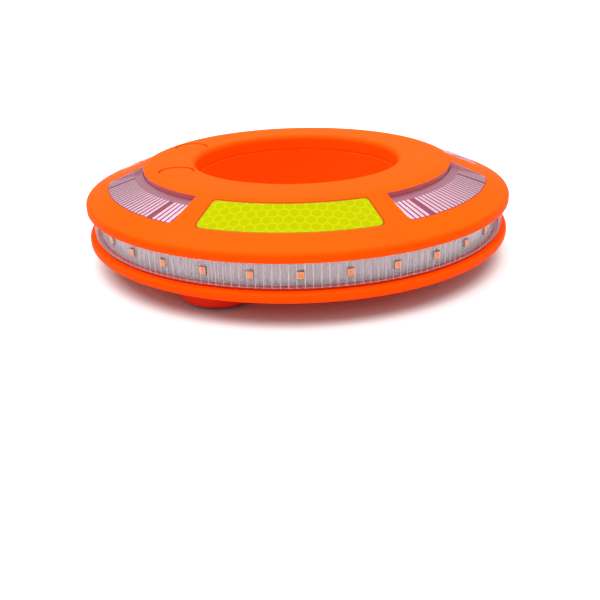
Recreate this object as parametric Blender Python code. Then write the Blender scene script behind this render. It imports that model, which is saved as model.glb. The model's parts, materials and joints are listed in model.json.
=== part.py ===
"""Solar ring light that drops over a traffic cone, as an assembly of its separate pieces.

Metres, +Z up. The origin is on the axis of the bore, in the plane that the foot pads stand on.
Azimuths are in degrees about +Z, from the front (-Y) towards the right (+X).
"""

import math

import bmesh
import bpy
from mathutils import Matrix, Vector

# Overall sizes
LIP_R = 0.135  # outer radius of the top cover's lip, the widest part of the ring
BORE_R = 0.065  # the upper bore wall, which passes over the cone
DOME_H = 0.0231  # lip's lower edge to the top annulus
LENS_H = 0.0149  # lip's lower edge down to the lens's lower edge
RIM_GROOVE_H = 0.0015  # open groove between the lens and the rim
RIM_H = 0.0063  # the bottom cover's rounded rim
FOOT_H = 0.0135  # ground to the underside

# Fits
GAP = 0.0003  # between pieces that touch
WALL = 0.0024  # moulded wall of both covers
RING_STEPS = 48
BUTTON_STEPS = 24
FOOT_STEPS = 20
CELL_STEPS = 16
SCREW_STEPS = 10
POST_SIDES = 12
HOLE_SIDES = 10
BOARD_STEPS = 12
FILLET_STEP = 45.0  # degrees of an arc to each flat, at most
SHARP_ANGLE = 30.0  # degrees between two faces that makes their edge a sharp one
ON_AXIS = 0.00002  # a point nearer the axis than this lies on it

# Top cover
LIP_FACE_H = 0.0051  # upright face of the lip
LIP_EDGE = 0.0006
LIP_FILLET = 0.003
SHOULDER_FILLET = 0.020
BORE_FILLET = 0.004
BORE_PARTING = 0.0104  # top annulus down to the covers' joint in the bore

# Bottom cover
COLLAR_STEP = 0.001  # the lower bore wall stands in by this much
COLLAR_W = 0.004
SEAL_STEP_H = 0.003
RIM_INSET = 0.0001  # the rim stands back from the lip by this much
RIM_FILLET = 0.0031
RIM_CROWN = 0.0012
UNDER_FILLET = 0.0018

# Rim lens, in a groove of each cover
LIP_OVERHANG = 0.0034  # lip to the lens's outer face
LENS_W = 0.0038
TONGUE_W = 0.0020
TONGUE_H = 0.0019
GROOVE_SIDE = 0.0004
SEAL_H = 0.0013
GROOVE_WALL = 0.0025

# LED strip on its carrier
LED_COUNT = 30
LED_PHASE = 2.7  # azimuth of the first LED
LED_SIDE = 0.0040
LED_PROUD = 0.0015
LED_DROP = 0.0093  # lip's lower edge down to the LEDs' middle
STRIP_W = 0.0010
STRIP_TOP_DROP = 0.0010
STRIP_LENS_GAP = 0.0004
CARRIER_W = 0.0030
CARRIER_TOP_DROP = 0.0015

# Windows in the slope
WINDOW_HALF = 25.2  # half of a window's angle
WINDOW_RIM = 0.0147  # lip to a window's outer edge
WINDOW_SHOULDER = 0.0049  # shoulder to a window's inner edge
REFLECTORS = {"front": 0.0, "rear": 180.0}
PANELS = {"front_left": -57.6, "front_right": 57.6, "rear_left": -122.4, "rear_right": 122.4}
REFLECTOR_CORNER = 0.0045
REFLECTOR_INNER_CORNER = 0.0025
REFLECTOR_T = 0.0008
REFLECTOR_SUNK = 0.00015
PANEL_CORNER = 0.0015
PANEL_T = 0.0022
PANEL_INNER_DEPTH = 0.0029  # slope down to the panel's face, at its inner edge
GASKET_T = 0.0007
GASKET_MARGIN = 0.0010
TRAY_FLOOR = 0.0018
TRAY_WALL = 0.0022
LEAD_HOLE_R = 0.0025
WINDOW_STEPS = 8
CORNER_STEPS = 3

# Buttons on the annulus, and what they press
BUTTONS = {"power": -64.0, "mode": -113.5}
BUTTON_R = 0.0108
BUTTON_BORE_CLEAR = 0.0008  # bore wall's inside to the button's flange
BUTTON_SHOULDER_CLEAR = 0.0005  # flange to the shoulder
BUTTON_EDGE = 0.0005
BUTTON_TRAVEL = 0.0010
BUTTON_FLANGE_W = 0.0011  # how far the flange stands out past the button's side
BUTTON_FLANGE_T = 0.0016
BUTTON_SEAL_T = 0.0015
STEM_R = 0.0025
STEM_L = 0.0067
PLUNGER_R = 0.0017
PLUNGER_L = 0.0035
PLUNGER_SHOWS = 0.0020
SWITCH_SIDE = 0.0120
SWITCH_H = 0.0040
BOARD_T = 0.0016
BUTTON_BOARD_MID = -90.0
BUTTON_BOARD_HALF = 42.0
BUTTON_BOARD_IN = 0.006  # bore wall to the board
BUTTON_BOARD_W = 0.020
BOARD_POST_AT = 38.5
BOARD_POST_R = 0.0025

# Case screws, up through the bottom cover's posts
CASE_SCREWS = (5.0, 65.0, 125.0, 185.0, -90.0)  # clear of the feet and the buttons
SCREW_FROM_BORE = 0.013
UPPER_POST_R = 0.0045
LOWER_POST_R = 0.0060
POST_JOINT_DROP = 0.0020  # lip's lower edge down to where the posts meet
SHANK_R = 0.0019
HEAD_R = 0.0036
HEAD_H = 0.0026
SCREW_IN = 0.0080  # shank above the posts' joint
HEAD_DEPTH = 0.0078  # underside up to the counterbore's shoulder
SOCKET_R = 0.0015
SOCKET_DEPTH = 0.0015

# Feet
FEET = {"front_left": -24.5, "right": 95.5, "rear_left": 215.5}
FOOT_FROM_LIP = 0.0355
FOOT_R = 0.0232
FOOT_ROUND_W = 0.0088  # the rounding of the lower edge, across and up
FOOT_ROUND_H = 0.0035
FOOT_ROUND_STEPS = 3
FOOT_BOSS_R = 0.0050
FOOT_BOSS_H = 0.0112
FOOT_SCREW_TIP = 0.0100
FOOT_COUNTERBORE_H = 0.0080
PAD_MARGIN = 0.0030  # pad's edge to where the foot's lower edge starts to round
PAD_T = 0.0020
PAD_PROUD = 0.0008

# Batteries, boards and loom on the floor
BATTERIES = {"1": 35.0, "2": 155.0}
BATTERY_FROM_LIP = 0.038
CELL_R = 0.0092
CELL_L = 0.0650
CELL_NUB_R = 0.0035
CELL_NUB_H = 0.0012
CRADLE_WALL = 0.0018
CRADLE_BASE = 0.0020
CELL_SIDE_GAP = 0.0004
CRADLE_LOWER = 0.0010  # cradle's top edge below the cell's middle
MAIN_BOARD_MID = -85.0
MAIN_BOARD_HALF = 30.0
MAIN_BOARD_FROM_LIP = 0.021
MAIN_BOARD_W = 0.026
MAIN_BOARD_LIFT = 0.0052  # floor up to the board's underside
MAIN_SCREW_AT = 22.0
MAIN_SCREW_SHANK_R = 0.0012
MAIN_SCREW_HEAD_R = 0.0026
MAIN_SCREW_HEAD_H = 0.0018
MAIN_SCREW_IN = 0.0030
STANDOFF_R = 0.0030
CHIPS = (  # azimuth from the board's middle, tangential size, radial size, height
    (-14.0, 0.0120, 0.0100, 0.0025),
    (2.0, 0.0070, 0.0070, 0.0020),
    (12.0, 0.0100, 0.0080, 0.0070),
)
LOOM_R = 0.0015
LOOM_FROM_LIP = 0.0168
LOOM_HALF = 150.0
LOOM_STEPS = 36
LOOM_SIDES = 5

# Levels and radii that follow
UNDER_Z = FOOT_H
LIP_Z = UNDER_Z + RIM_H + RIM_GROOVE_H + LENS_H
TOP_Z = LIP_Z + DOME_H
FLOOR_Z = UNDER_Z + WALL
PARTING_Z = TOP_Z - BORE_PARTING
BUTTON_AT_R = BORE_R + WALL + BUTTON_BORE_CLEAR + BUTTON_R + BUTTON_FLANGE_W
SHOULDER_R = BUTTON_AT_R + BUTTON_R + BUTTON_FLANGE_W + BUTTON_SHOULDER_CLEAR
SLOPE = (DOME_H - LIP_FACE_H) / (LIP_R - SHOULDER_R)
SLOPE_WALL = WALL * math.hypot(1.0, SLOPE)
LENS_R = LIP_R - LIP_OVERHANG
LENS_IN_R = LENS_R - LENS_W
GROOVE_IN_R = LENS_IN_R - GROOVE_SIDE
GROOVE_OUT_R = LENS_IN_R + TONGUE_W + GROOVE_SIDE
GROOVE_DEPTH = TONGUE_H + SEAL_H + 2 * GAP
INNER_R = GROOVE_IN_R - GROOVE_WALL
UPSTAND_Z = LIP_Z - LENS_H - GAP
WINDOW_OUT_R = LIP_R - WINDOW_RIM
WINDOW_IN_R = SHOULDER_R + WINDOW_SHOULDER
SCREW_AT_R = BORE_R + SCREW_FROM_BORE
FOOT_AT_R = LIP_R - FOOT_FROM_LIP
PAD_R = FOOT_R - FOOT_ROUND_W - PAD_MARGIN

ORANGE = ((1.0, 0.145, 0.006, 1.0), 0.45, 0.0)
DEEP_ORANGE = ((0.85, 0.045, 0.004, 1.0), 0.5, 0.0)
CLEAR = ((0.72, 0.66, 0.70, 1.0), 0.12, 0.0)
WHITE = ((0.75, 0.72, 0.72, 1.0), 0.5, 0.0)
SILICONE = ((0.35, 0.35, 0.36, 1.0), 0.6, 0.0)
FOAM = ((0.03, 0.03, 0.035, 1.0), 0.9, 0.0)
CELL_LAMINATE = ((0.78, 0.60, 0.66, 1.0), 0.1, 0.0)
REFLEX_YELLOW = ((0.70, 0.75, 0.01, 1.0), 0.3, 0.0)
RUBBER = ((0.02, 0.02, 0.02, 1.0), 0.85, 0.0)
STEEL = ((0.60, 0.60, 0.62, 1.0), 0.3, 1.0)
SWITCH_BLACK = ((0.02, 0.02, 0.022, 1.0), 0.5, 0.0)
BOARD_GREEN = ((0.02, 0.16, 0.06, 1.0), 0.4, 0.0)
CELL_WRAP = ((0.02, 0.10, 0.35, 1.0), 0.35, 0.0)
LOOM_BLACK = ((0.015, 0.015, 0.016, 1.0), 0.6, 0.0)


def clear_scene():
    for obj in list(bpy.data.objects):
        bpy.data.objects.remove(obj, do_unlink=True)


def dress(obj, finish):
    colour, roughness, metallic = finish
    material = bpy.data.materials.new(obj.name)
    material.use_nodes = True
    shader = material.node_tree.nodes["Principled BSDF"]
    shader.inputs["Base Color"].default_value = colour
    shader.inputs["Roughness"].default_value = roughness
    shader.inputs["Metallic"].default_value = metallic
    obj.data.materials.append(material)


def add_object(name, bm, finish=None, location=(0.0, 0.0, 0.0)):
    """An object from a bmesh. Without a finish it is a tool: something to cut with or to join on."""
    bmesh.ops.recalc_face_normals(bm, faces=bm.faces[:])
    mesh = bpy.data.meshes.new(name)
    bm.to_mesh(mesh)
    bm.free()
    if mesh.polygons:
        mesh.shade_smooth()
        mesh.set_sharp_from_angle(angle=math.radians(SHARP_ANGLE))
    obj = bpy.data.objects.new(name, mesh)
    obj.location = location
    bpy.context.scene.collection.objects.link(obj)
    if finish:
        dress(obj, finish)
    else:
        obj.hide_render = True
        obj.display_type = "WIRE"
    return obj


def apply_tool(obj, tool, operation):
    step = obj.modifiers.new(tool.name, "BOOLEAN")
    step.operation = operation
    step.object = tool


def cut(obj, tool):
    apply_tool(obj, tool, "DIFFERENCE")


def join_on(obj, tool):
    apply_tool(obj, tool, "UNION")


def turn_to(azimuth, lift=0.0):
    """Local axes at an azimuth: -Y is outward, +X is along the rim."""
    return Matrix.Translation((0.0, 0.0, lift)) @ Matrix.Rotation(math.radians(azimuth), 4, "Z")


def polar(radius, azimuth, z=0.0):
    return turn_to(azimuth, z) @ Vector((0.0, -radius, 0.0))


def rounded(corners):
    """A closed outline of (r, z) or (r, z, fillet radius) corners, with each fillet as an arc."""
    points = []
    count = len(corners)
    for i, corner in enumerate(corners):
        here = Vector(corner[:2])
        if len(corner) == 2:
            points.append(here)
            continue
        before = (Vector(corners[i - 1][:2]) - here).normalized()
        after = (Vector(corners[(i + 1) % count][:2]) - here).normalized()
        half = before.angle(after) / 2
        reach = corner[2] / math.tan(half)
        middle = here + (before + after).normalized() * (corner[2] / math.sin(half))
        first = here + before * reach - middle
        sweep = first.angle_signed(here + after * reach - middle)
        steps = math.ceil(abs(math.degrees(sweep)) / FILLET_STEP)
        for k in range(steps + 1):
            turn = Matrix.Rotation(-sweep * k / steps, 2)
            points.append(middle + turn @ first)
    return points


def turned(name, corners, finish, location=(0.0, 0.0, 0.0), steps=RING_STEPS):
    """A piece turned about its own Z from an outline that runs clockwise: down the outer side."""
    points = rounded(corners)
    bm = bmesh.new()
    verts = [bm.verts.new((p.x, 0.0, p.y)) for p in points]
    for one, other in zip(verts, verts[1:] + verts[:1]):
        if max(one.co.x, other.co.x) > ON_AXIS:
            bm.edges.new((one, other))
    obj = add_object(name, bm, finish, location)
    screw = obj.modifiers.new("turn", "SCREW")
    screw.steps = screw.render_steps = steps
    screw.use_merge_vertices = True
    screw.merge_threshold = ON_AXIS / 2
    screw.use_smooth_shade = True
    return obj


def ring(name, inner, outer, low, high, finish, **place):
    return turned(name, [(inner, high), (outer, high), (outer, low), (inner, low)], finish, **place)


def add_rod(bm, radius, low, high, centre, sides):
    place = Matrix.Translation((centre[0], centre[1], (low + high) / 2))
    bmesh.ops.create_cone(
        bm, cap_ends=True, segments=sides, radius1=radius, radius2=radius, depth=high - low, matrix=place
    )


def add_block(bm, size, radius, azimuth, low):
    """A block of (along the rim, radial, upright) size, its middle at a radius and azimuth."""
    place = turn_to(azimuth) @ Matrix.Translation((0.0, -radius, low + size[2] / 2))
    bmesh.ops.create_cube(bm, size=1.0, matrix=place @ Matrix.Diagonal((*size, 1.0)))


def rods(name, radius, low, high, centres, sides=POST_SIDES):
    bm = bmesh.new()
    for centre in centres:
        add_rod(bm, radius, low, high, centre, sides)
    return add_object(name, bm)


def add_loft(bm, sections):
    """Faces from each closed cross-section to the next one, with a cap on each end."""
    for section, following in zip(sections, sections[1:]):
        for k in range(len(section)):
            bm.faces.new((section[k], section[k - 1], following[k - 1], following[k]))
    bm.faces.new(sections[0])
    bm.faces.new(reversed(sections[-1]))


def slope_z(radius):
    """Height of the top cover's slope at a radius."""
    return LIP_Z + LIP_FACE_H + (LIP_R - radius) * SLOPE


def panel_z(radius):
    """Height of a solar panel's face: flush with the slope outside and sunk inside."""
    inward = (WINDOW_OUT_R - radius) / (WINDOW_OUT_R - WINDOW_IN_R)
    return slope_z(radius) - PANEL_INNER_DEPTH * inward


def lowered(height, depth):
    """A height rule that runs a depth under another one."""
    return lambda radius: height(radius) - depth


def setback(distance, corner):
    """How far a rounded corner stands back from its edge, at a distance from the side."""
    if distance >= corner:
        return 0.0
    return corner - math.sqrt(max(0.0, corner**2 - (corner - distance) ** 2))


def add_window(bm, azimuth, top, bottom, grow=0.0, corner_in=0.0, corner_out=0.0):
    """A solid between two height rules, with a window's outline grown all round."""
    inner = WINDOW_IN_R - grow
    outer = WINDOW_OUT_R + grow
    middle = (inner + outer) / 2
    half = math.radians(WINDOW_HALF) + grow / middle
    spread = max(corner_in, corner_out) / inner
    flat = half - spread
    across = [flat - 2 * flat * k / WINDOW_STEPS for k in range(WINDOW_STEPS + 1)]
    corner = []
    if spread:
        turns = [math.pi / 2 * k / CORNER_STEPS for k in range(CORNER_STEPS)]
        corner = [half - spread * (1 - math.cos(turn)) for turn in turns]
    sections = []
    for offset in corner + across + [-spot for spot in reversed(corner)]:
        from_side = half - abs(offset)
        low_r = inner + setback(from_side * inner, corner_in)
        high_r = outer - setback(from_side * outer, corner_out)
        corners = ((low_r, top), (high_r, top), (high_r, bottom), (low_r, bottom))
        spot = azimuth + math.degrees(offset)
        sections.append([bm.verts.new(polar(r, spot, rule(r))) for r, rule in corners])
    add_loft(bm, sections)


def windows(name, azimuths, top, bottom, finish=None, **shape):
    bm = bmesh.new()
    for azimuth in azimuths:
        add_window(bm, azimuth, top, bottom, **shape)
    return add_object(name, bm, finish)


def add_sector(bm, azimuth, half, inner, outer, low, high):
    """A flat board: part of a ring between two heights."""
    sections = []
    for k in range(BOARD_STEPS + 1):
        spot = azimuth - half + 2 * half * k / BOARD_STEPS
        corners = ((inner, high), (outer, high), (outer, low), (inner, low))
        sections.append([bm.verts.new(polar(r, spot, z)) for r, z in corners])
    add_loft(bm, sections)


def case_screw_centres():
    return [polar(SCREW_AT_R, azimuth) for azimuth in CASE_SCREWS]


def board_post_centres():
    spots = (BUTTON_BOARD_MID - BOARD_POST_AT, BUTTON_BOARD_MID + BOARD_POST_AT)
    return [polar(BUTTON_AT_R, spot) for spot in spots]


def main_screw_centres():
    radius = LIP_R - MAIN_BOARD_FROM_LIP - MAIN_BOARD_W / 2
    spots = (MAIN_BOARD_MID - MAIN_SCREW_AT, MAIN_BOARD_MID + MAIN_SCREW_AT)
    return [polar(radius, spot) for spot in spots]


def foot_centres():
    return [polar(FOOT_AT_R, azimuth) for azimuth in FEET.values()]


def make_top_cover():
    inner_shoulder = SHOULDER_R - (SLOPE_WALL - WALL) / SLOPE
    cover = turned(
        "top_cover",
        [
            (SHOULDER_R, TOP_Z, SHOULDER_FILLET),
            (LIP_R, LIP_Z + LIP_FACE_H, LIP_FILLET),
            (LIP_R, LIP_Z, LIP_EDGE),
            (GROOVE_OUT_R, LIP_Z),
            (GROOVE_OUT_R, LIP_Z + GROOVE_DEPTH),
            (GROOVE_IN_R, LIP_Z + GROOVE_DEPTH),
            (GROOVE_IN_R, LIP_Z),
            (INNER_R, LIP_Z),
            (INNER_R, slope_z(INNER_R) - SLOPE_WALL),
            (inner_shoulder, TOP_Z - WALL),
            (BORE_R + WALL, TOP_Z - WALL),
            (BORE_R + WALL, PARTING_Z),
            (BORE_R, PARTING_Z),
            (BORE_R, TOP_Z, BORE_FILLET),
        ],
        ORANGE,
    )
    tray_depth = PANEL_T + GASKET_T + 2 * GAP + TRAY_FLOOR
    trays = windows(
        "trays",
        PANELS.values(),
        lowered(slope_z, SLOPE_WALL / 2),
        lowered(panel_z, tray_depth),
        grow=TRAY_WALL,
    )
    join_on(cover, trays)
    joint_z = LIP_Z - POST_JOINT_DROP
    join_on(cover, rods("upper_posts", UPPER_POST_R, joint_z, TOP_Z - WALL / 2, case_screw_centres()))
    board_top = TOP_Z - button_board_depth()
    posts = rods("board_posts", BOARD_POST_R, board_top + GAP, TOP_Z - WALL / 2, board_post_centres())
    join_on(cover, posts)

    pocket_floor = lowered(panel_z, PANEL_T + GASKET_T + 2 * GAP)
    above_slope = lowered(slope_z, -WALL)
    pockets = windows(
        "panel_pockets",
        PANELS.values(),
        above_slope,
        pocket_floor,
        grow=GAP,
        corner_in=PANEL_CORNER,
        corner_out=PANEL_CORNER,
    )
    cut(cover, pockets)
    sheet_floor = lowered(slope_z, REFLECTOR_SUNK + REFLECTOR_T + GAP)
    sheet_pockets = windows(
        "sheet_pockets",
        REFLECTORS.values(),
        above_slope,
        sheet_floor,
        grow=GAP,
        corner_in=REFLECTOR_INNER_CORNER,
        corner_out=REFLECTOR_CORNER,
    )
    cut(cover, sheet_pockets)
    middle_r = (WINDOW_IN_R + WINDOW_OUT_R) / 2
    lead_spots = [polar(middle_r, azimuth) for azimuth in PANELS.values()]
    cut(cover, rods("lead_holes", LEAD_HOLE_R, LIP_Z, TOP_Z, lead_spots, HOLE_SIDES))
    screw_top = joint_z + SCREW_IN + GAP
    shank = SHANK_R + GAP
    cut(cover, rods("screw_holes", shank, joint_z - WALL, screw_top, case_screw_centres(), HOLE_SIDES))
    button_spots = [polar(BUTTON_AT_R, azimuth) for azimuth in BUTTONS.values()]
    hole_r = BUTTON_R + GAP
    cut(cover, rods("button_holes", hole_r, TOP_Z - 2 * WALL, TOP_Z + WALL, button_spots, BUTTON_STEPS))


def make_bottom_cover():
    collar_in = BORE_R - COLLAR_STEP
    rim_out = LIP_R - RIM_INSET
    rim_top = UNDER_Z + RIM_H
    upstand_out = LENS_R - GAP
    groove_floor = UPSTAND_Z + GAP - GROOVE_DEPTH
    cover = turned(
        "bottom_cover",
        [
            (collar_in, PARTING_Z - GAP),
            (collar_in + COLLAR_W / 2, PARTING_Z - GAP),
            (collar_in + COLLAR_W / 2, PARTING_Z - GAP - SEAL_STEP_H),
            (collar_in + COLLAR_W, PARTING_Z - GAP - SEAL_STEP_H),
            (collar_in + COLLAR_W, FLOOR_Z),
            (INNER_R, FLOOR_Z),
            (INNER_R, UPSTAND_Z),
            (GROOVE_IN_R, UPSTAND_Z),
            (GROOVE_IN_R, groove_floor),
            (GROOVE_OUT_R, groove_floor),
            (GROOVE_OUT_R, UPSTAND_Z),
            (upstand_out, UPSTAND_Z),
            (upstand_out, rim_top),
            (rim_out, rim_top, RIM_CROWN),
            (rim_out, UNDER_Z, RIM_FILLET),
            (collar_in, UNDER_Z, UNDER_FILLET),
        ],
        ORANGE,
    )
    joint_z = LIP_Z - POST_JOINT_DROP
    screws = case_screw_centres()
    join_on(cover, rods("lower_posts", LOWER_POST_R, FLOOR_Z - WALL / 2, joint_z - GAP, screws))
    boss_top = FLOOR_Z + FOOT_BOSS_H
    join_on(cover, rods("foot_bosses", FOOT_BOSS_R, FLOOR_Z - WALL / 2, boss_top, foot_centres()))
    standoff_top = FLOOR_Z + MAIN_BOARD_LIFT - GAP
    join_on(
        cover,
        rods("standoffs", STANDOFF_R, FLOOR_Z - WALL / 2, standoff_top, main_screw_centres(), HOLE_SIDES),
    )
    below = UNDER_Z - WALL
    cut(cover, rods("counterbores", HEAD_R + GAP, below, UNDER_Z + HEAD_DEPTH, screws))
    cut(cover, rods("shank_holes", SHANK_R + GAP, below, joint_z + WALL, screws, HOLE_SIDES))
    foot_hole_top = UNDER_Z + FOOT_SCREW_TIP + GAP
    cut(cover, rods("foot_holes", SHANK_R + GAP, below, foot_hole_top, foot_centres(), HOLE_SIDES))
    screw_low = FLOOR_Z + MAIN_BOARD_LIFT - MAIN_SCREW_IN - GAP
    holes = rods(
        "standoff_holes",
        MAIN_SCREW_SHANK_R + GAP,
        screw_low,
        standoff_top + WALL,
        main_screw_centres(),
        HOLE_SIDES,
    )
    cut(cover, holes)


def make_lens_and_seals():
    tongue_r = LENS_IN_R + TONGUE_W
    low = LIP_Z - LENS_H
    high = LIP_Z - GAP
    turned(
        "rim_lens",
        [
            (LENS_IN_R, high + TONGUE_H),
            (tongue_r, high + TONGUE_H),
            (tongue_r, high),
            (LENS_R, high),
            (LENS_R, low),
            (tongue_r, low),
            (tongue_r, low - TONGUE_H),
            (LENS_IN_R, low - TONGUE_H),
        ],
        CLEAR,
    )
    upper = high + TONGUE_H + GAP
    ring("upper_lens_seal", LENS_IN_R, tongue_r, upper, upper + SEAL_H, SILICONE)
    lower = low - TONGUE_H - GAP
    ring("lower_lens_seal", LENS_IN_R, tongue_r, lower - SEAL_H, lower, SILICONE)
    step_in = BORE_R - COLLAR_STEP + COLLAR_W / 2 + GAP
    step_low = PARTING_Z - GAP - SEAL_STEP_H + GAP
    ring("bore_seal", step_in, BORE_R - COLLAR_STEP + COLLAR_W, step_low, PARTING_Z - GAP, SILICONE)


def make_led_strip():
    led_face = LENS_IN_R - STRIP_LENS_GAP
    board_out = led_face - LED_PROUD
    board_in = board_out - STRIP_W
    top = LIP_Z - STRIP_TOP_DROP
    strip = ring("led_strip", board_in, board_out, UPSTAND_Z + GAP, top, WHITE)
    leds = bmesh.new()
    depth = LED_PROUD + STRIP_W / 2
    for i in range(LED_COUNT):
        azimuth = LED_PHASE + 360.0 * i / LED_COUNT
        size = (LED_SIDE, depth, LED_SIDE)
        add_block(leds, size, led_face - depth / 2, azimuth, LIP_Z - LED_DROP - LED_SIDE / 2)
    join_on(strip, add_object("leds", leds))
    carrier_out = board_in - GAP
    carrier_top = LIP_Z - CARRIER_TOP_DROP
    ring("led_carrier", carrier_out - CARRIER_W, carrier_out, FLOOR_Z + GAP, carrier_top, WHITE)


def make_panels():
    middle_r = (WINDOW_IN_R + WINDOW_OUT_R) / 2
    gasket_top = PANEL_T + GAP
    for side, azimuth in PANELS.items():
        windows(
            "solar_panel_" + side,
            [azimuth],
            panel_z,
            lowered(panel_z, PANEL_T),
            CELL_LAMINATE,
            corner_in=PANEL_CORNER,
            corner_out=PANEL_CORNER,
        )
        gasket = windows(
            "panel_gasket_" + side,
            [azimuth],
            lowered(panel_z, gasket_top),
            lowered(panel_z, gasket_top + GASKET_T),
            FOAM,
            grow=-GASKET_MARGIN,
        )
        spot = polar(middle_r, azimuth)
        hole = rods("lead_slot_" + side, LEAD_HOLE_R, LIP_Z, TOP_Z, [spot], HOLE_SIDES)
        cut(gasket, hole)


def make_reflectors():
    for side, azimuth in REFLECTORS.items():
        windows(
            "reflector_" + side,
            [azimuth],
            lowered(slope_z, REFLECTOR_SUNK),
            lowered(slope_z, REFLECTOR_SUNK + REFLECTOR_T),
            REFLEX_YELLOW,
            corner_in=REFLECTOR_INNER_CORNER,
            corner_out=REFLECTOR_CORNER,
        )


def flange_depth():
    """Top annulus down to the upper face of a button's flange."""
    return WALL + GAP + BUTTON_SEAL_T + GAP


def plunger_depth():
    """Top annulus down to the top of a switch's plunger."""
    return flange_depth() + BUTTON_FLANGE_T + STEM_L + GAP


def button_board_depth():
    """Top annulus down to the button board's face."""
    return plunger_depth() + PLUNGER_SHOWS + SWITCH_H + GAP


def make_buttons():
    flange_top = TOP_Z - flange_depth()
    flange_low = flange_top - BUTTON_FLANGE_T
    stem_low = flange_low - STEM_L
    plunger_top = TOP_Z - plunger_depth()
    switch_top = plunger_top - PLUNGER_SHOWS
    switch_low = switch_top - SWITCH_H
    plunger_low = plunger_top - PLUNGER_L
    for label, azimuth in BUTTONS.items():
        spot = polar(BUTTON_AT_R, azimuth)
        turned(
            label + "_button",
            [
                (0.0, TOP_Z),
                (BUTTON_R, TOP_Z, BUTTON_EDGE),
                (BUTTON_R, flange_top),
                (BUTTON_R + BUTTON_FLANGE_W, flange_top),
                (BUTTON_R + BUTTON_FLANGE_W, flange_low),
                (STEM_R, flange_low),
                (STEM_R, stem_low),
                (0.0, stem_low),
            ],
            ORANGE,
            location=spot,
            steps=BUTTON_STEPS,
        )
        seal_top = TOP_Z - WALL - GAP
        ring(
            label + "_seal",
            BUTTON_R + GAP,
            BUTTON_R + BUTTON_FLANGE_W,
            seal_top - BUTTON_SEAL_T,
            seal_top,
            SILICONE,
            location=spot,
            steps=BUTTON_STEPS,
        )
        turned(
            label + "_plunger",
            [(0.0, plunger_top), (PLUNGER_R, plunger_top), (PLUNGER_R, plunger_low), (0.0, plunger_low)],
            SWITCH_BLACK,
            location=spot,
            steps=SCREW_STEPS,
        )
        body = bmesh.new()
        add_block(body, (SWITCH_SIDE, SWITCH_SIDE, SWITCH_H), BUTTON_AT_R, azimuth, switch_low)
        switch = add_object(label + "_switch", body, SWITCH_BLACK)
        hole_low = plunger_low - BUTTON_TRAVEL - GAP
        cut(switch, rods(label + "_guide", PLUNGER_R + GAP, hole_low, TOP_Z, [spot]))


def make_boards():
    board_top = TOP_Z - button_board_depth()
    inner = BORE_R + BUTTON_BOARD_IN
    bm = bmesh.new()
    add_sector(
        bm,
        BUTTON_BOARD_MID,
        BUTTON_BOARD_HALF,
        inner,
        inner + BUTTON_BOARD_W,
        board_top - BOARD_T,
        board_top,
    )
    button_board = add_object("button_board", bm, BOARD_GREEN)
    around_post = UPPER_POST_R + 2 * GAP
    hole_low = board_top - 2 * BOARD_T
    cut(button_board, rods("board_holes", around_post, hole_low, board_top + BOARD_T, case_screw_centres()))

    outer = LIP_R - MAIN_BOARD_FROM_LIP
    low = FLOOR_Z + MAIN_BOARD_LIFT
    bm = bmesh.new()
    add_sector(
        bm, MAIN_BOARD_MID, MAIN_BOARD_HALF, outer - MAIN_BOARD_W, outer, low, low + BOARD_T
    )
    main_board = add_object("main_board", bm, BOARD_GREEN)
    chips = bmesh.new()
    middle = outer - MAIN_BOARD_W / 2
    for offset, along, radial, height in CHIPS:
        size = (along, radial, height + BOARD_T / 2)
        add_block(chips, size, middle, MAIN_BOARD_MID + offset, low + BOARD_T / 2)
    join_on(main_board, add_object("chips", chips))
    screws = main_screw_centres()
    shank = MAIN_SCREW_SHANK_R + GAP
    cut(main_board, rods("board_screw_holes", shank, low - BOARD_T, low + 2 * BOARD_T, screws, HOLE_SIDES))
    posts = case_screw_centres()
    cut(main_board, rods("post_notches", LOWER_POST_R + GAP, low - BOARD_T, low + 2 * BOARD_T, posts))
    for i, spot in enumerate(screws):
        head_low = low + BOARD_T + GAP
        make_screw(
            f"board_screw_{i + 1}",
            spot,
            head_low,
            1,
            MAIN_SCREW_HEAD_R,
            MAIN_SCREW_HEAD_H,
            MAIN_SCREW_SHANK_R,
            head_low - (low - MAIN_SCREW_IN),
        )


def make_screw(name, spot, seat_z, up, head_r, head_h, shank_r, shank_l):
    """A socket screw seated at a height, with its head above the seat (up = 1) or below it (-1)."""
    corners = [
        (0.0, head_h - SOCKET_DEPTH),
        (SOCKET_R, head_h - SOCKET_DEPTH),
        (SOCKET_R, head_h),
        (head_r, head_h),
        (head_r, 0.0),
        (shank_r, 0.0),
        (shank_r, -shank_l),
        (0.0, -shank_l),
    ]
    screw = turned(name, corners, STEEL, location=(spot[0], spot[1], seat_z), steps=SCREW_STEPS)
    if up < 0:
        screw.rotation_euler = (math.pi, 0.0, 0.0)


def make_case_screws():
    seat = UNDER_Z + HEAD_DEPTH - GAP
    tip = LIP_Z - POST_JOINT_DROP + SCREW_IN
    for i, spot in enumerate(case_screw_centres()):
        make_screw(f"case_screw_{i + 1}", spot, seat, -1, HEAD_R, HEAD_H, SHANK_R, tip - seat)


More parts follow.
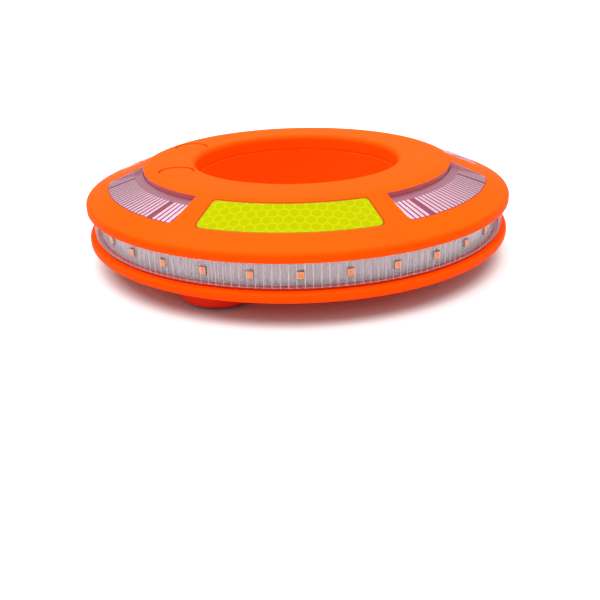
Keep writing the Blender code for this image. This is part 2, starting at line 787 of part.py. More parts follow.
def make_feet():
    high = UNDER_Z - GAP
    low = PAD_PROUD
    recess = low + PAD_T - PAD_PROUD + GAP
    shoulder = low + FOOT_COUNTERBORE_H
    hole = SHANK_R + GAP
    toe = []
    for k in range(FOOT_ROUND_STEPS + 1):
        angle = math.pi / 2 * k / FOOT_ROUND_STEPS
        across = FOOT_R - FOOT_ROUND_W * (1 - math.cos(angle))
        toe.append((across, low + FOOT_ROUND_H * (1 - math.sin(angle))))
    for side, azimuth in FEET.items():
        spot = polar(FOOT_AT_R, azimuth)
        turned(
            "foot_" + side,
            [
                (hole, high),
                (FOOT_R, high),
                *toe,
                (PAD_R + GAP, low),
                (PAD_R + GAP, recess),
                (HEAD_R + GAP, recess),
                (HEAD_R + GAP, shoulder),
                (hole, shoulder),
            ],
            DEEP_ORANGE,
            location=spot,
            steps=FOOT_STEPS,
        )
        turned(
            "foot_pad_" + side,
            [(0.0, PAD_T), (PAD_R, PAD_T), (PAD_R, 0.0), (0.0, 0.0)],
            RUBBER,
            location=spot,
            steps=FOOT_STEPS,
        )
        seat = shoulder - GAP
        tip = UNDER_Z + FOOT_SCREW_TIP
        make_screw("foot_screw_" + side, spot, seat, -1, HEAD_R, HEAD_H, SHANK_R, tip - seat)


def make_batteries():
    radius = LIP_R - BATTERY_FROM_LIP
    cell_z = FLOOR_Z + GAP + CRADLE_BASE + CELL_SIDE_GAP + CELL_R
    trough_r = CELL_R + CELL_SIDE_GAP
    trough_l = CELL_L + CELL_NUB_H + 2 * CELL_SIDE_GAP
    low = FLOOR_Z + GAP
    height = cell_z - CRADLE_LOWER - low
    for label, azimuth in BATTERIES.items():
        lie = turn_to(azimuth) @ Matrix.Translation((0.0, -radius, cell_z))
        lie = lie @ Matrix.Rotation(math.pi / 2, 4, "Y")
        cell = turned(
            "battery_cell_" + label,
            [
                (0.0, CELL_L / 2 + CELL_NUB_H / 2),
                (CELL_NUB_R, CELL_L / 2 + CELL_NUB_H / 2),
                (CELL_NUB_R, CELL_L / 2 - CELL_NUB_H / 2),
                (CELL_R, CELL_L / 2 - CELL_NUB_H / 2),
                (CELL_R, -CELL_L / 2 - CELL_NUB_H / 2),
                (0.0, -CELL_L / 2 - CELL_NUB_H / 2),
            ],
            CELL_WRAP,
            steps=CELL_STEPS,
        )
        cell.matrix_world = lie
        bm = bmesh.new()
        size = (trough_l + 2 * CRADLE_WALL, 2 * (trough_r + CRADLE_WALL), height)
        add_block(bm, size, radius, azimuth, low)
        cradle = add_object("battery_cradle_" + label, bm, SWITCH_BLACK)
        bm = bmesh.new()
        bmesh.ops.create_cone(
            bm,
            cap_ends=True,
            segments=CELL_STEPS,
            radius1=trough_r,
            radius2=trough_r,
            depth=trough_l,
            matrix=lie,
        )
        cut(cradle, add_object("trough_" + label, bm))


def make_loom():
    radius = LIP_R - LOOM_FROM_LIP
    z = FLOOR_Z + GAP + LOOM_R
    sections = []
    bm = bmesh.new()
    for k in range(LOOM_STEPS + 1):
        spot = MAIN_BOARD_MID - LOOM_HALF + 2 * LOOM_HALF * k / LOOM_STEPS
        section = []
        for side in range(LOOM_SIDES):
            angle = 2 * math.pi * side / LOOM_SIDES
            point = polar(radius + LOOM_R * math.cos(angle), spot, z + LOOM_R * math.sin(angle))
            section.append(bm.verts.new(point))
        sections.append(section)
    add_loft(bm, sections)
    add_object("wiring_loom", bm, LOOM_BLACK)


def main():
    clear_scene()
    make_top_cover()
    make_bottom_cover()
    make_lens_and_seals()
    make_led_strip()
    make_panels()
    make_reflectors()
    make_buttons()
    make_boards()
    make_case_screws()
    make_feet()
    make_batteries()
    make_loom()


main()
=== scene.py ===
"""The looks of a solar ring light for traffic cones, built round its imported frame.

Metres, +Z up, with the origin on the bore's axis in the plane that the feet stand on. Azimuths are in
degrees about +Z, from the front (-Y) towards the right (+X).
"""

import json
import logging
import math
from collections.abc import Callable, Iterable, Sequence
from dataclasses import dataclass
from enum import Enum

import bmesh
import bpy
from mathutils import Matrix, Vector

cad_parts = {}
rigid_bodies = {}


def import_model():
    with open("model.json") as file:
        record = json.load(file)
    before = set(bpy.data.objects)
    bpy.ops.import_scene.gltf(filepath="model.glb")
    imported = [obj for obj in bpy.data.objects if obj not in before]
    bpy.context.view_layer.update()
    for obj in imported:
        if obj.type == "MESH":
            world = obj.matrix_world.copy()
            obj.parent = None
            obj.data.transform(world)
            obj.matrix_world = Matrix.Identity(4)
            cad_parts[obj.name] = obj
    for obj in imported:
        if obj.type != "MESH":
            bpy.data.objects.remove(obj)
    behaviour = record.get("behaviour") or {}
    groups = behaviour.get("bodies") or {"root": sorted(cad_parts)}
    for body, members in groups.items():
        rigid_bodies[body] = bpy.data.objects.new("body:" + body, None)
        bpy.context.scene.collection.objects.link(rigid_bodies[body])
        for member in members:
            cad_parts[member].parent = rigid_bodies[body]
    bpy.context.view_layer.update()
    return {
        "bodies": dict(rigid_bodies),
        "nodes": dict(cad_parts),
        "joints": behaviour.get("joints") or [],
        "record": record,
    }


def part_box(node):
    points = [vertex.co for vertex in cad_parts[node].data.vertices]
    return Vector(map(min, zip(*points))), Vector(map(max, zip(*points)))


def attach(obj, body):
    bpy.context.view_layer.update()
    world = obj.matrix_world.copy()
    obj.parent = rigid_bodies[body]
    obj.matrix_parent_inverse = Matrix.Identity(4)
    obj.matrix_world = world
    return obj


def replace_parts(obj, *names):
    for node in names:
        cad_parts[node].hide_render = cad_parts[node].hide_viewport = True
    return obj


LOG = logging.getLogger("ring_light")
MM = 0.001
MERGE = 0.00001  # points nearer than this are one
GAP = 0.3 * MM  # between pieces that touch
START_SIDE = 1.0 * MM  # of the plane that a swept section starts from
FACING = 0.5  # a normal with this share along a direction is taken to face it
CASE_SCREWS = 5


class Pick(Enum):
    """What an edit-mode selection is made of."""

    VERT = "VERT"
    EDGE = "EDGE"
    FACE = "FACE"


class Combine(Enum):
    """How a tool changes the piece it meets."""

    CUT = "DIFFERENCE"
    KEEP = "INTERSECT"
    JOIN = "UNION"


# Modelling


def polar(radius: float, azimuth: float, z: float = 0.0) -> Vector:
    """The point at a radius, azimuth and height."""
    turn = math.radians(azimuth)
    return Vector((radius * math.sin(turn), -radius * math.cos(turn), z))


def azimuth_of(point: Vector) -> float:
    """The azimuth of a point, from -180 to 180 degrees."""
    return math.degrees(math.atan2(point.x, -point.y))


def azimuth_off(point: Vector, azimuth: float) -> float:
    """How far a point stands past an azimuth, from -180 to 180 degrees."""
    return (azimuth_of(point) - azimuth + 180.0) % 360.0 - 180.0


def radius_of(point: Vector) -> float:
    """The distance of a point from the bore's axis."""
    return math.hypot(point.x, point.y)


def centre_of(node: str) -> Vector:
    """The middle of a CAD node's box, put down to height 0."""
    low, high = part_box(node)
    return Vector(((low.x + high.x) / 2, (low.y + high.y) / 2, 0.0))


def is_sharp(edge: bmesh.types.BMEdge, degrees: float) -> bool:
    """Whether an edge joins two faces at more than an angle."""
    return len(edge.link_faces) == 2 and edge.calc_face_angle(0.0) > math.radians(degrees)


def deselect() -> None:
    """Leaves object mode on and nothing selected."""
    if bpy.context.object and bpy.context.object.mode != "OBJECT":
        bpy.ops.object.mode_set(mode="OBJECT")
    bpy.ops.object.select_all(action="DESELECT")


def activate(obj: bpy.types.Object) -> None:
    """Makes one object the only selected and the active one.

    Args:
        obj: The object.
    """
    deselect()
    obj.select_set(True)
    bpy.context.view_layer.objects.active = obj


def edit(obj: bpy.types.Object) -> None:
    """Opens one object in edit mode, all selected.

    Args:
        obj: The object.
    """
    activate(obj)
    bpy.ops.object.mode_set(mode="EDIT")
    bpy.ops.mesh.select_all(action="SELECT")


def leave_edit() -> None:
    """Goes back to object mode."""
    bpy.ops.object.mode_set(mode="OBJECT")


def added(name: str) -> bpy.types.Object:
    """Names the primitive just added and puts its place into its mesh.

    Args:
        name: The object's name.

    Returns:
        The object, at the origin and unscaled.
    """
    obj = bpy.context.object
    obj.name = name
    bpy.ops.object.transform_apply(location=True, rotation=True, scale=True)
    return obj


def pick(obj: bpy.types.Object, kind: Pick, test: Callable) -> int:
    """Selects the elements that pass a test, in edit mode.

    Args:
        obj: The object in edit mode.
        kind: Which elements are tested.
        test: Takes an element and says whether it is selected.

    Returns:
        How many were selected.
    """
    bpy.ops.mesh.select_mode(type=kind.value)
    bpy.ops.mesh.select_all(action="DESELECT")
    bm = bmesh.from_edit_mesh(obj.data)
    elements = {Pick.VERT: bm.verts, Pick.EDGE: bm.edges, Pick.FACE: bm.faces}[kind]
    found = [element for element in elements if test(element)]
    for element in found:
        element.select_set(True)
    bm.select_flush_mode()
    bmesh.update_edit_mesh(obj.data)
    return len(found)


def close_up() -> None:
    """Merges doubles and turns all faces outward, in edit mode."""
    bpy.ops.mesh.select_all(action="SELECT")
    bpy.ops.mesh.remove_doubles(threshold=MERGE)
    bpy.ops.mesh.normals_make_consistent(inside=False)


def rounded(corners: Sequence[Sequence[float]], step: float = 9.0) -> list[tuple[float, float]]:
    """Draws an outline with its corners as arcs.

    Args:
        corners: (r, z) or (r, z, fillet radius) in order round the outline.
        step: Degrees of arc to each flat, at most.

    Returns:
        The outline's (r, z) points.
    """
    points = []
    for i, corner in enumerate(corners):
        here = Vector(corner[:2])
        if len(corner) == 2:
            points.append((here.x, here.y))
            continue
        before = (Vector(corners[i - 1][:2]) - here).normalized()
        after = (Vector(corners[(i + 1) % len(corners)][:2]) - here).normalized()
        half = before.angle(after) / 2
        middle = here + (before + after).normalized() * (corner[2] / math.sin(half))
        first = here + before * (corner[2] / math.tan(half)) - middle
        sweep = first.angle_signed(here + after * (corner[2] / math.tan(half)) - middle)
        steps = max(2, math.ceil(abs(math.degrees(sweep)) / step))
        for k in range(steps + 1):
            spot = middle + Matrix.Rotation(-sweep * k / steps, 2) @ first
            points.append((spot.x, spot.y))
    return points


def turned(name: str, outline: Sequence[tuple[float, float]], columns: int) -> bpy.types.Object:
    """Turns an outline about the bore's axis, as a circle that is extruded and scaled ring by ring.

    An outline that starts and ends at radius 0 makes a solid disc or pin, any other one a ring.

    Args:
        name: The new object's name.
        outline: (r, z) points.
        columns: How many columns of faces go round.

    Returns:
        The closed object.
    """
    points = list(outline)
    on_axis = points[0][0] < MERGE
    path = points[1:] if on_axis else points + points[:1]
    radius, z = path[0]
    deselect()
    bpy.ops.mesh.primitive_circle_add(
        vertices=columns, radius=radius, location=(0, 0, z), fill_type="TRIFAN" if on_axis else "NOTHING"
    )
    obj = added(name)
    edit(obj)
    pick(obj, Pick.EDGE, lambda edge: min(radius_of(v.co) for v in edge.verts) > radius / 2)
    for next_radius, next_z in path[1:]:
        bpy.ops.mesh.extrude_edges_move()
        factor = next_radius / radius
        bpy.ops.transform.resize(value=(factor, factor, 1), center_override=(0, 0, z))
        bpy.ops.transform.translate(value=(0, 0, next_z - z))
        radius, z = next_radius, next_z
        if radius < MERGE:
            break
    close_up()
    leave_edit()
    return obj


def swept(
    name: str,
    section: Sequence[tuple[float, float]],
    azimuth: float,
    half: float,
    steps: int,
    seams: Iterable[float] = (),
) -> bpy.types.Object:
    """Sweeps a four-cornered section round part of the ring.

    Args:
        name: The new object's name.
        section: (r, z) of its corners: inner top, outer top, outer bottom, inner bottom.
        azimuth: The middle of the sweep.
        half: Half of the sweep's angle.
        steps: How many columns of faces it has.
        seams: Radii at which its faces are divided.

    Returns:
        The closed object.
    """
    middle = sum((Vector((0.0, -r, z)) for r, z in section), Vector()) / 4
    deselect()
    bpy.ops.mesh.primitive_plane_add(size=START_SIDE, location=middle, rotation=(0, math.pi / 2, 0))
    obj = added(name)
    edit(obj)
    for (inward, upward), (r, z) in zip(((1, 1), (-1, 1), (-1, -1), (1, -1)), section):
        start = middle + Vector((0, inward, upward)) * START_SIDE / 2
        pick(obj, Pick.VERT, lambda vert: (vert.co - start).length < MERGE)
        bpy.ops.transform.translate(value=Vector((0.0, -r, z)) - start)
    for radius in seams:
        bpy.ops.mesh.select_all(action="SELECT")
        bpy.ops.mesh.bisect(plane_co=(0, -radius, 0), plane_no=(0, 1, 0))
    bpy.ops.mesh.select_all(action="SELECT")
    turn_selected(azimuth - half)
    bpy.ops.mesh.spin(steps=steps, angle=-math.radians(2 * half), center=(0, 0, 0), axis=(0, 0, 1))
    close_up()
    leave_edit()
    return obj


def turn_selected(azimuth: float) -> None:
    """Turns what is selected about the bore's axis towards higher azimuths, in edit mode.

    With no window the rotate operator turns the other way, hence the sign.
    """
    bpy.ops.transform.rotate(value=-math.radians(azimuth), orient_axis="Z", center_override=(0, 0, 0))


def rod(name: str, radius: float, low: float, high: float, spot: Vector, sides: int = 32) -> bpy.types.Object:
    """An upright rod, to join on or to cut with.

    Args:
        name: The object's name.
        radius: Its radius.
        low: The height of its lower end.
        high: The height of its upper end.
        spot: The point that its axis passes through.
        sides: How many faces go round.

    Returns:
        The closed rod.
    """
    deselect()
    place = (spot.x, spot.y, (low + high) / 2)
    bpy.ops.mesh.primitive_cylinder_add(vertices=sides, radius=radius, depth=high - low, location=place)
    return added(name)


def combine(obj: bpy.types.Object, tools: Iterable[bpy.types.Object], how: Combine) -> None:
    """Joins the tools into one, then changes the object with it.

    Args:
        obj: The object that is changed.
        tools: Closed objects that don't overlap when they cut. They are used up.
        how: Whether they are cut away, kept inside of, or joined on.
    """
    tools = list(tools)
    activate(tools[0])
    for tool in tools:
        tool.select_set(True)
    if len(tools) > 1:
        bpy.ops.object.join()
    activate(obj)
    step = obj.modifiers.new(how.name, "BOOLEAN")
    step.operation = how.value
    step.object = tools[0]
    bpy.ops.object.modifier_apply(modifier=step.name)
    bpy.data.objects.remove(tools[0], do_unlink=True)


def soften(obj: bpy.types.Object, width: float, test: Callable, segments: int = 2) -> None:
    """Bevels the edges that pass a test.

    Args:
        obj: The object.
        width: The bevel's width.
        test: Takes an edge and says whether it is bevelled.
        segments: How many faces the bevel has across.
    """
    edit(obj)
    if pick(obj, Pick.EDGE, test):
        bpy.ops.mesh.bevel(offset=width, segments=segments, affect="EDGES", clamp_overlap=True)
    leave_edit()


def copies(obj: bpy.types.Object, names: Sequence[str]) -> list[bpy.types.Object]:
    """Copies an object, each copy with its own mesh.

    Args:
        obj: The object.
        names: One name for each copy.

    Returns:
        The copies, in the names' order.
    """
    made = []
    for name in names:
        activate(obj)
        bpy.ops.object.duplicate(linked=False)
        bpy.context.object.name = name
        made.append(bpy.context.object)
    return made


def placed(obj: bpy.types.Object, spot: Vector, azimuth: float = 0.0) -> bpy.types.Object:
    """Turns and moves a mesh that was modelled on the axis, inside its object.

    Args:
        obj: The object, which itself stays at the origin.
        spot: How far the mesh moves, after it is turned.
        azimuth: How far it is turned.

    Returns:
        The same object.
    """
    edit(obj)
    turn_selected(azimuth)
    bpy.ops.transform.translate(value=spot)
    leave_edit()
    return obj


def smooth(obj: bpy.types.Object, angle: float = 35.0, weighted: bool = True) -> None:
    """Shades an object smooth.

    Args:
        obj: The object.
        angle: Edges sharper than this stay sharp, in degrees.
        weighted: Whether flat faces are kept flat beside small bevels.
    """
    activate(obj)
    bpy.ops.object.shade_smooth_by_angle(angle=math.radians(angle))
    if weighted:
        step = obj.modifiers.new("weighted", "WEIGHTED_NORMAL")
        step.keep_sharp = True
        bpy.ops.object.modifier_apply(modifier=step.name)


# Finishes


def linear(colour: str) -> tuple[float, float, float, float]:
    """The linear RGBA of an sRGB hex colour."""
    parts = (int(colour[i : i + 2], 16) / 255 for i in (1, 3, 5))
    return (*(p / 12.92 if p <= 0.04045 else ((p + 0.055) / 1.055) ** 2.4 for p in parts), 1.0)


def scale_of(size_mm: float) -> float:
    """A texture's scale for features of a real size, on coordinates in metres."""
    return 1000.0 / size_mm


def add_node(
    tree: bpy.types.NodeTree, kind: str, inputs: dict | None = None, **settings: object
) -> bpy.types.Node:
    """Adds a node with its settings and links.

    Args:
        tree: The node tree.
        kind: The node's type.
        inputs: Socket name or number to a value, or to an output socket that is linked to it.
        **settings: The node's own properties.

    Returns:
        The node.
    """
    node = tree.nodes.new(kind)
    for name, value in settings.items():
        setattr(node, name, value)
    for name, value in (inputs or {}).items():
        if isinstance(value, bpy.types.NodeSocket):
            tree.links.new(value, node.inputs[name])
        else:
            node.inputs[name].default_value = value
    return node


@dataclass(frozen=True)
class Finish:
    """A moulded, coated or drawn surface: two near colours in soft patches over a fine grain.

    Patches of roughness are wider than those of colour, as wear is.
    """

    name: str
    colour: str
    second: str
    roughness: tuple[float, float] = (0.4, 0.5)
    patch_mm: float = 18.0
    grain_mm: float = 0.8
    grain_depth_mm: float = 0.01
    metallic: float = 0.0
    ior: float = 1.5
    specular: float = 0.5
    glow: float = 0.0
    wear_spread: float = 1.7

    def coordinates(self, tree: bpy.types.NodeTree) -> bpy.types.NodeSocket:
        """Object coordinates, in metres."""
        return add_node(tree, "ShaderNodeTexCoord").outputs["Object"]

    def colour_socket(self, tree: bpy.types.NodeTree, place: bpy.types.NodeSocket) -> bpy.types.NodeSocket:
        """The surface's colour.

        Args:
            tree: The material's nodes.
            place: Where the point is.

        Returns:
            The output that gives it.
        """
        patches = add_node(
            tree, "ShaderNodeTexNoise", {"Vector": place, "Scale": scale_of(self.patch_mm), "Detail": 3.0}
        )
        mixed = add_node(
            tree,
            "ShaderNodeMix",
            {"Factor": patches.outputs["Fac"], "A": linear(self.colour), "B": linear(self.second)},
            data_type="RGBA",
        )
        return mixed.outputs["Result"]

    def height_socket(self, tree: bpy.types.NodeTree, place: bpy.types.NodeSocket) -> bpy.types.NodeSocket:
        """The fine relief, from 0 to 1.

        Args:
            tree: The material's nodes.
            place: Where the point is.

        Returns:
            The output that gives it.
        """
        grain = add_node(
            tree, "ShaderNodeTexNoise", {"Vector": place, "Scale": scale_of(self.grain_mm), "Detail": 2.0}
        )
        return grain.outputs["Fac"]

    def roughness_socket(self, tree: bpy.types.NodeTree, place: bpy.types.NodeSocket) -> bpy.types.NodeSocket:
        """Roughness in larger, softer patches than the colour's.

        Args:
            tree: The material's nodes.
            place: Where the point is.

        Returns:
            The output that gives it.
        """
        wear = add_node(
            tree,
            "ShaderNodeTexNoise",
            {"Vector": place, "Scale": scale_of(self.patch_mm * self.wear_spread), "Detail": 5.0},
        )
        low, high = self.roughness
        spread = add_node(
            tree, "ShaderNodeMapRange", {"Value": wear.outputs["Fac"], "To Min": low, "To Max": high}
        )
        return spread.outputs["Result"]

    def material(self) -> bpy.types.Material:
        """Builds the finish.

        Returns:
            The material.
        """
        material = bpy.data.materials.new(self.name)
        material.use_nodes = True
        tree = material.node_tree
        tree.nodes.clear()
        place = self.coordinates(tree)
        relief = add_node(
            tree,
            "ShaderNodeBump",
            {
                "Height": self.height_socket(tree, place),
                "Distance": self.grain_depth_mm * MM,
                "Strength": 1.0,
            },
        )
        shader = add_node(
            tree,
            "ShaderNodeBsdfPrincipled",
            {
                "Base Color": self.colour_socket(tree, place),
                "Roughness": self.roughness_socket(tree, place),
                "Normal": relief.outputs["Normal"],
                "Metallic": self.metallic,
                "IOR": self.ior,
                "Specular IOR Level": self.specular,
                "Emission Color": linear(self.colour),
                "Emission Strength": self.glow,
            },
        )
        add_node(tree, "ShaderNodeOutputMaterial", {"Surface": shader.outputs["BSDF"]})
        return material


@dataclass(frozen=True)
class HoneycombSheet(Finish):
    """Prismatic sheet: sealed hexagonal cells, paler along their seams."""

    pitch_mm: float = 5.8
    seam: str = "#939705"
    colour_span: tuple[float, float] = (0.36, 0.46)
    relief_span: tuple[float, float] = (0.38, 0.5)

    def hexagon(self, tree: bpy.types.NodeTree, place: bpy.types.NodeSocket) -> bpy.types.NodeSocket:
        """How near the edge of its hexagon a point is: 0 in the middle, 0.5 on the seam.

        Hexagons stand on two grids of rectangles, each shifted by half a rectangle from the other.

        Args:
            tree: The material's nodes.
            place: Where the point is.

        Returns:
            The output that gives it.
        """
        cell = Vector((1.0, math.sqrt(3.0), 1.0))
        unit = add_node(
            tree, "ShaderNodeVectorMath", {0: place, "Scale": scale_of(self.pitch_mm)}, operation="SCALE"
        )
        grids = []
        for shift in (Vector((0, 0, 0)), cell / 2):
            spot = unit.outputs[0]
            for operation, values in (
                ("ADD", (shift,)),
                ("WRAP", (Vector((0, 0, 0)), cell)),
                ("SUBTRACT", (cell / 2,)),
                ("MULTIPLY", (Vector((1, 1, 0)),)),
                ("ABSOLUTE", ()),
            ):
                inputs = dict(enumerate((spot, *values)))
                spot = add_node(tree, "ShaderNodeVectorMath", inputs, operation=operation).outputs[0]
            sides = []
            for normal in ((0.5, math.sqrt(3.0) / 2, 0), (1, 0, 0)):
                inputs = {0: spot, 1: normal}
                side = add_node(tree, "ShaderNodeVectorMath", inputs, operation="DOT_PRODUCT")
                sides.append(side.outputs["Value"])
            furthest = add_node(tree, "ShaderNodeMath", dict(enumerate(sides)), operation="MAXIMUM")
            grids.append(furthest.outputs[0])
        nearest = add_node(tree, "ShaderNodeMath", dict(enumerate(grids)), operation="MINIMUM")
        return nearest.outputs[0]

    def seams(
        self, tree: bpy.types.NodeTree, place: bpy.types.NodeSocket, span: tuple[float, float]
    ) -> bpy.types.NodeSocket:
        """1 on the seams between cells and 0 inside them.

        Args:
            tree: The material's nodes.
            place: Where the point is.
            span: Where the change starts and ends, from a cell's middle, 0, to its seam, 0.5.

        Returns:
            The output that gives it.
        """
        change = add_node(
            tree,
            "ShaderNodeMapRange",
            {"Value": self.hexagon(tree, place), "From Min": span[0], "From Max": span[1]},
            interpolation_type="SMOOTHSTEP",
        )
        return change.outputs["Result"]

    def colour_socket(self, tree: bpy.types.NodeTree, place: bpy.types.NodeSocket) -> bpy.types.NodeSocket:
        """Cells in two near greens, with paler seams.

        Args:
            tree: The material's nodes.
            place: Where the point is.

        Returns:
            The output that gives it.
        """
        cells = super().colour_socket(tree, place)
        seams = self.seams(tree, place, self.colour_span)
        mixed = add_node(
            tree,
            "ShaderNodeMix",
            {"Factor": seams, "A": cells, "B": linear(self.seam)},
            data_type="RGBA",
        )
        return mixed.outputs["Result"]

    def height_socket(self, tree: bpy.types.NodeTree, place: bpy.types.NodeSocket) -> bpy.types.NodeSocket:
        """The seams stand a little proud of the cells."""
        return self.seams(tree, place, self.relief_span)


@dataclass(frozen=True)
class FlutedClear(Finish):
    """Clear polycarbonate with upright flutes whose ridges carry painted highlights, paler and less clear."""

    flutes: int = 192
    ridge: str = "#E0D8E2"
    ridge_share: float = 0.10
    clear_alpha: float = 0.08
    ridge_alpha: float = 0.4

    def ridges(self, tree: bpy.types.NodeTree, place: bpy.types.NodeSocket) -> bpy.types.NodeSocket:
        """1 along a flute's ridge and 0 in its hollow.

        Args:
            tree: The material's nodes.
            place: Where the point is.

        Returns:
            The output that gives it.
        """
        parts = add_node(tree, "ShaderNodeSeparateXYZ", {0: place})
        turn = add_node(
            tree, "ShaderNodeMath", {0: parts.outputs["X"], 1: parts.outputs["Y"]}, operation="ARCTAN2"
        )
        count = add_node(
            tree, "ShaderNodeMath", {0: turn.outputs[0], 1: self.flutes / (2 * math.pi)}, operation="MULTIPLY"
        )
        swing = add_node(tree, "ShaderNodeMath", {0: count.outputs[0], 1: 0.5}, operation="PINGPONG")
        near = add_node(
            tree,
            "ShaderNodeMapRange",
            {"Value": swing.outputs[0], "From Min": self.ridge_share, "From Max": 0.0},
            interpolation_type="SMOOTHSTEP",
        )
        return near.outputs["Result"]

    def colour_socket(self, tree: bpy.types.NodeTree, place: bpy.types.NodeSocket) -> bpy.types.NodeSocket:
        """Painted highlight: paler on the ridges.

        Args:
            tree: The material's nodes.
            place: Where the point is.

        Returns:
            The output that gives it.
        """
        body = super().colour_socket(tree, place)
        mixed = add_node(
            tree,
            "ShaderNodeMix",
            {"Factor": self.ridges(tree, place), "A": body, "B": linear(self.ridge)},
            data_type="RGBA",
        )
        return mixed.outputs["Result"]

    def material(self) -> bpy.types.Material:
        """Builds the finish, less clear on the ridges as part of their painted highlight.

        Returns:
            The material.
        """
        material = super().material()
        tree = material.node_tree
        shader = next(node for node in tree.nodes if node.type == "BSDF_PRINCIPLED")
        alpha = add_node(
            tree,
            "ShaderNodeMapRange",
            {
                "Value": self.ridges(tree, self.coordinates(tree)),
                "To Min": self.clear_alpha,
                "To Max": self.ridge_alpha,
            },
        )
        tree.links.new(alpha.outputs["Result"], shader.inputs["Alpha"])
        return material


# Patches, then grain, are in millimetres, and grain depth last. Moulded grain is really 0.05 to 0.1 mm
# across, which is too fine to show, so it's drawn at 0.5 to 1 mm.

# Spark-eroded ABS: an even satin skin with a very fine grain, so highlights are broad and soft.
ORANGE_ABS = Finish(
    "ABS orange, spark-eroded", "#FC4602", "#F74301", (0.42, 0.5), 30, 0.7, 0.006, specular=0.01
)
# The same skin in the narrow seam under the lens, painted darker as the shade that falls there.
SEAM_SHADE_ABS = Finish(
    "ABS orange, painted seam shade", "#C8340A", "#BC2E08", (0.6, 0.7), 12, 0.7, 0.01, specular=0.05
)
# The shell's walls inside the panels' pockets, painted dark mauve-red as the shade they sit in beside the
# glossy panel.
POCKET_WALL_SHADE = Finish(
    "ABS, painted pocket shade, mauve", "#A8464A", "#A04045", (0.2, 0.3), 9, 0.9, 0.004, specular=0.2
)
# The pockets' end walls, painted pale mauve to blend with the wall reflection painted on the panel beside
# them.
POCKET_END_REFLECTION = Finish(
    "ABS, painted panel reflection, pale mauve", "#B08894", "#A8808C", (0.2, 0.3), 9, 0.9, 0.004, specular=0.2
)
# Moulded thermoplastic elastomer: duller than the ABS beside it, and painted a deeper red as the shade under
# the ring.
TPE_SHADED = Finish(
    "TPE red-orange, painted underside shade", "#E02404", "#D62003", (0.5, 0.62), 12, 0.6, 0.01, specular=0.1
)
# Fluted polycarbonate: clear, tinted slightly pink as a painted reflection of the shell around it, with
# painted highlights along its ridges.
CLEAR_PC = FlutedClear("polycarbonate, fluted", "#B9AFB8", "#B2A9B3", (0.12, 0.2), 10, 1.2, 0.003, ior=1.58)
# The lens's upper and lower faces and its tongues, left rough by the tool.
FROSTED_PC = Finish("polycarbonate, frosted", "#B58A90", "#B08088", (0.5, 0.6), 4, 0.5, 0.01)
# Solder mask on glass-fibre board: glossy white with a faint weave under it.
WHITE_MASK = Finish("solder mask, white", "#C0B8BC", "#BAB1B6", (0.28, 0.36), 9, 0.5, 0.004)
# Nylon LED body: matt, painted brown-grey as the shade behind the lens.
LED_BODY_SHADED = Finish("PPA nylon, LED body, painted shade", "#8A6A5E", "#7E6056", (0.5, 0.6), 3, 0.3, 0.004)
# Phosphor-filled silicone: amber, waxy, a little glossy, with a painted glow that brightens it behind the
# lens.
LED_AMBER = Finish(
    "silicone, amber phosphor", "#F08000", "#E87A00", (0.25, 0.35), 2, 0.25, 0.004, glow=0.22
)
# The same silicone where it thins against the body's wall, paler, also with a painted glow.
LED_RIM = Finish(
    "silicone, thin phosphor edge", "#F4AE6A", "#F0A660", (0.25, 0.35), 2, 0.25, 0.004, glow=0.15
)
# Plain white ABS of the strip's carrier: satin and even.
WHITE_ABS = Finish("ABS white, moulded", "#DAD6D4", "#D2CECC", (0.4, 0.5), 15, 0.7, 0.006)
# Moulded silicone of the seals: matt, dusty and a little soft at the edges.
SILICONE = Finish("silicone, moulded grey", "#8A8A8C", "#828284", (0.55, 0.65), 6, 0.5, 0.01)
# The sheet's sealed cut edge, painted dark olive as the shadow gap round the sheet.
SHEET_EDGE_SHADED = Finish("lacquer seal, painted edge shade", "#7A5A06", "#6E4C05", (0.3, 0.4), 3, 0.6, 0.01, specular=0.05)
# Bars under a gloss laminate, painted bright and faintly rosy as reflections of the pale surroundings.
CELL_BAR_REFLECTION = Finish("bar under PET, painted reflection", "#DDB4C4", "#D6AABB", (0.2, 0.3), 5, 0.8, 0.002, metallic=0.9)
# Cell surface under PET: dark wine, glossy.
CELL_FACE = Finish(
    "laminated cell, wine", "#6A2A3C", "#622637", (0.15, 0.22), 6, 0.8, 0.002, specular=0.2
)
# Laminate beside the bars, painted mauve as the reflection of the pocket's orange wall, glossy.
CELL_MARGIN_REFLECTION = Finish(
    "laminate, painted wall reflection, mauve", "#764754", "#704250", (0.15, 0.22), 6, 0.8, 0.002, specular=0.2
)
# Prismatic sheet under clear film: its hexagonal cells glow evenly, so it takes almost no highlight.
LIME_SHEET = HoneycombSheet(
    "prismatic sheet, lime", "#868A03", "#8B8E03", (0.3, 0.4), 7, 5.8, 0.12, specular=0.0
)
# Closed-cell foam: very matt, with open cells where it was cut.
FOAM = Finish("EVA foam, black", "#232325", "#1C1C1E", (0.85, 0.95), 3, 0.8, 0.06)
# Nitrile rubber of the pads: matt black, a little grey where it's handled.
RUBBER = Finish("nitrile rubber, black", "#1E1E1F", "#181819", (0.7, 0.8), 5, 0.5, 0.015)
# Zinc plating: bright, slightly blue and cloudy.
STEEL = Finish("steel, zinc plated", "#C9CACC", "#B9BBC0", (0.25, 0.38), 2, 0.2, 0.004, metallic=1.0)
# Glass-filled PBT of switches and cradles: black and dull, with fine flow marks.
BLACK_PBT = Finish("PBT black, moulded", "#202123", "#1A1B1D", (0.45, 0.55), 6, 0.5, 0.008)
# Green solder mask: glossy, with copper faintly under it.
GREEN_MASK = Finish("solder mask, green", "#1C5A34", "#174D2C", (0.28, 0.38), 7, 0.6, 0.004)
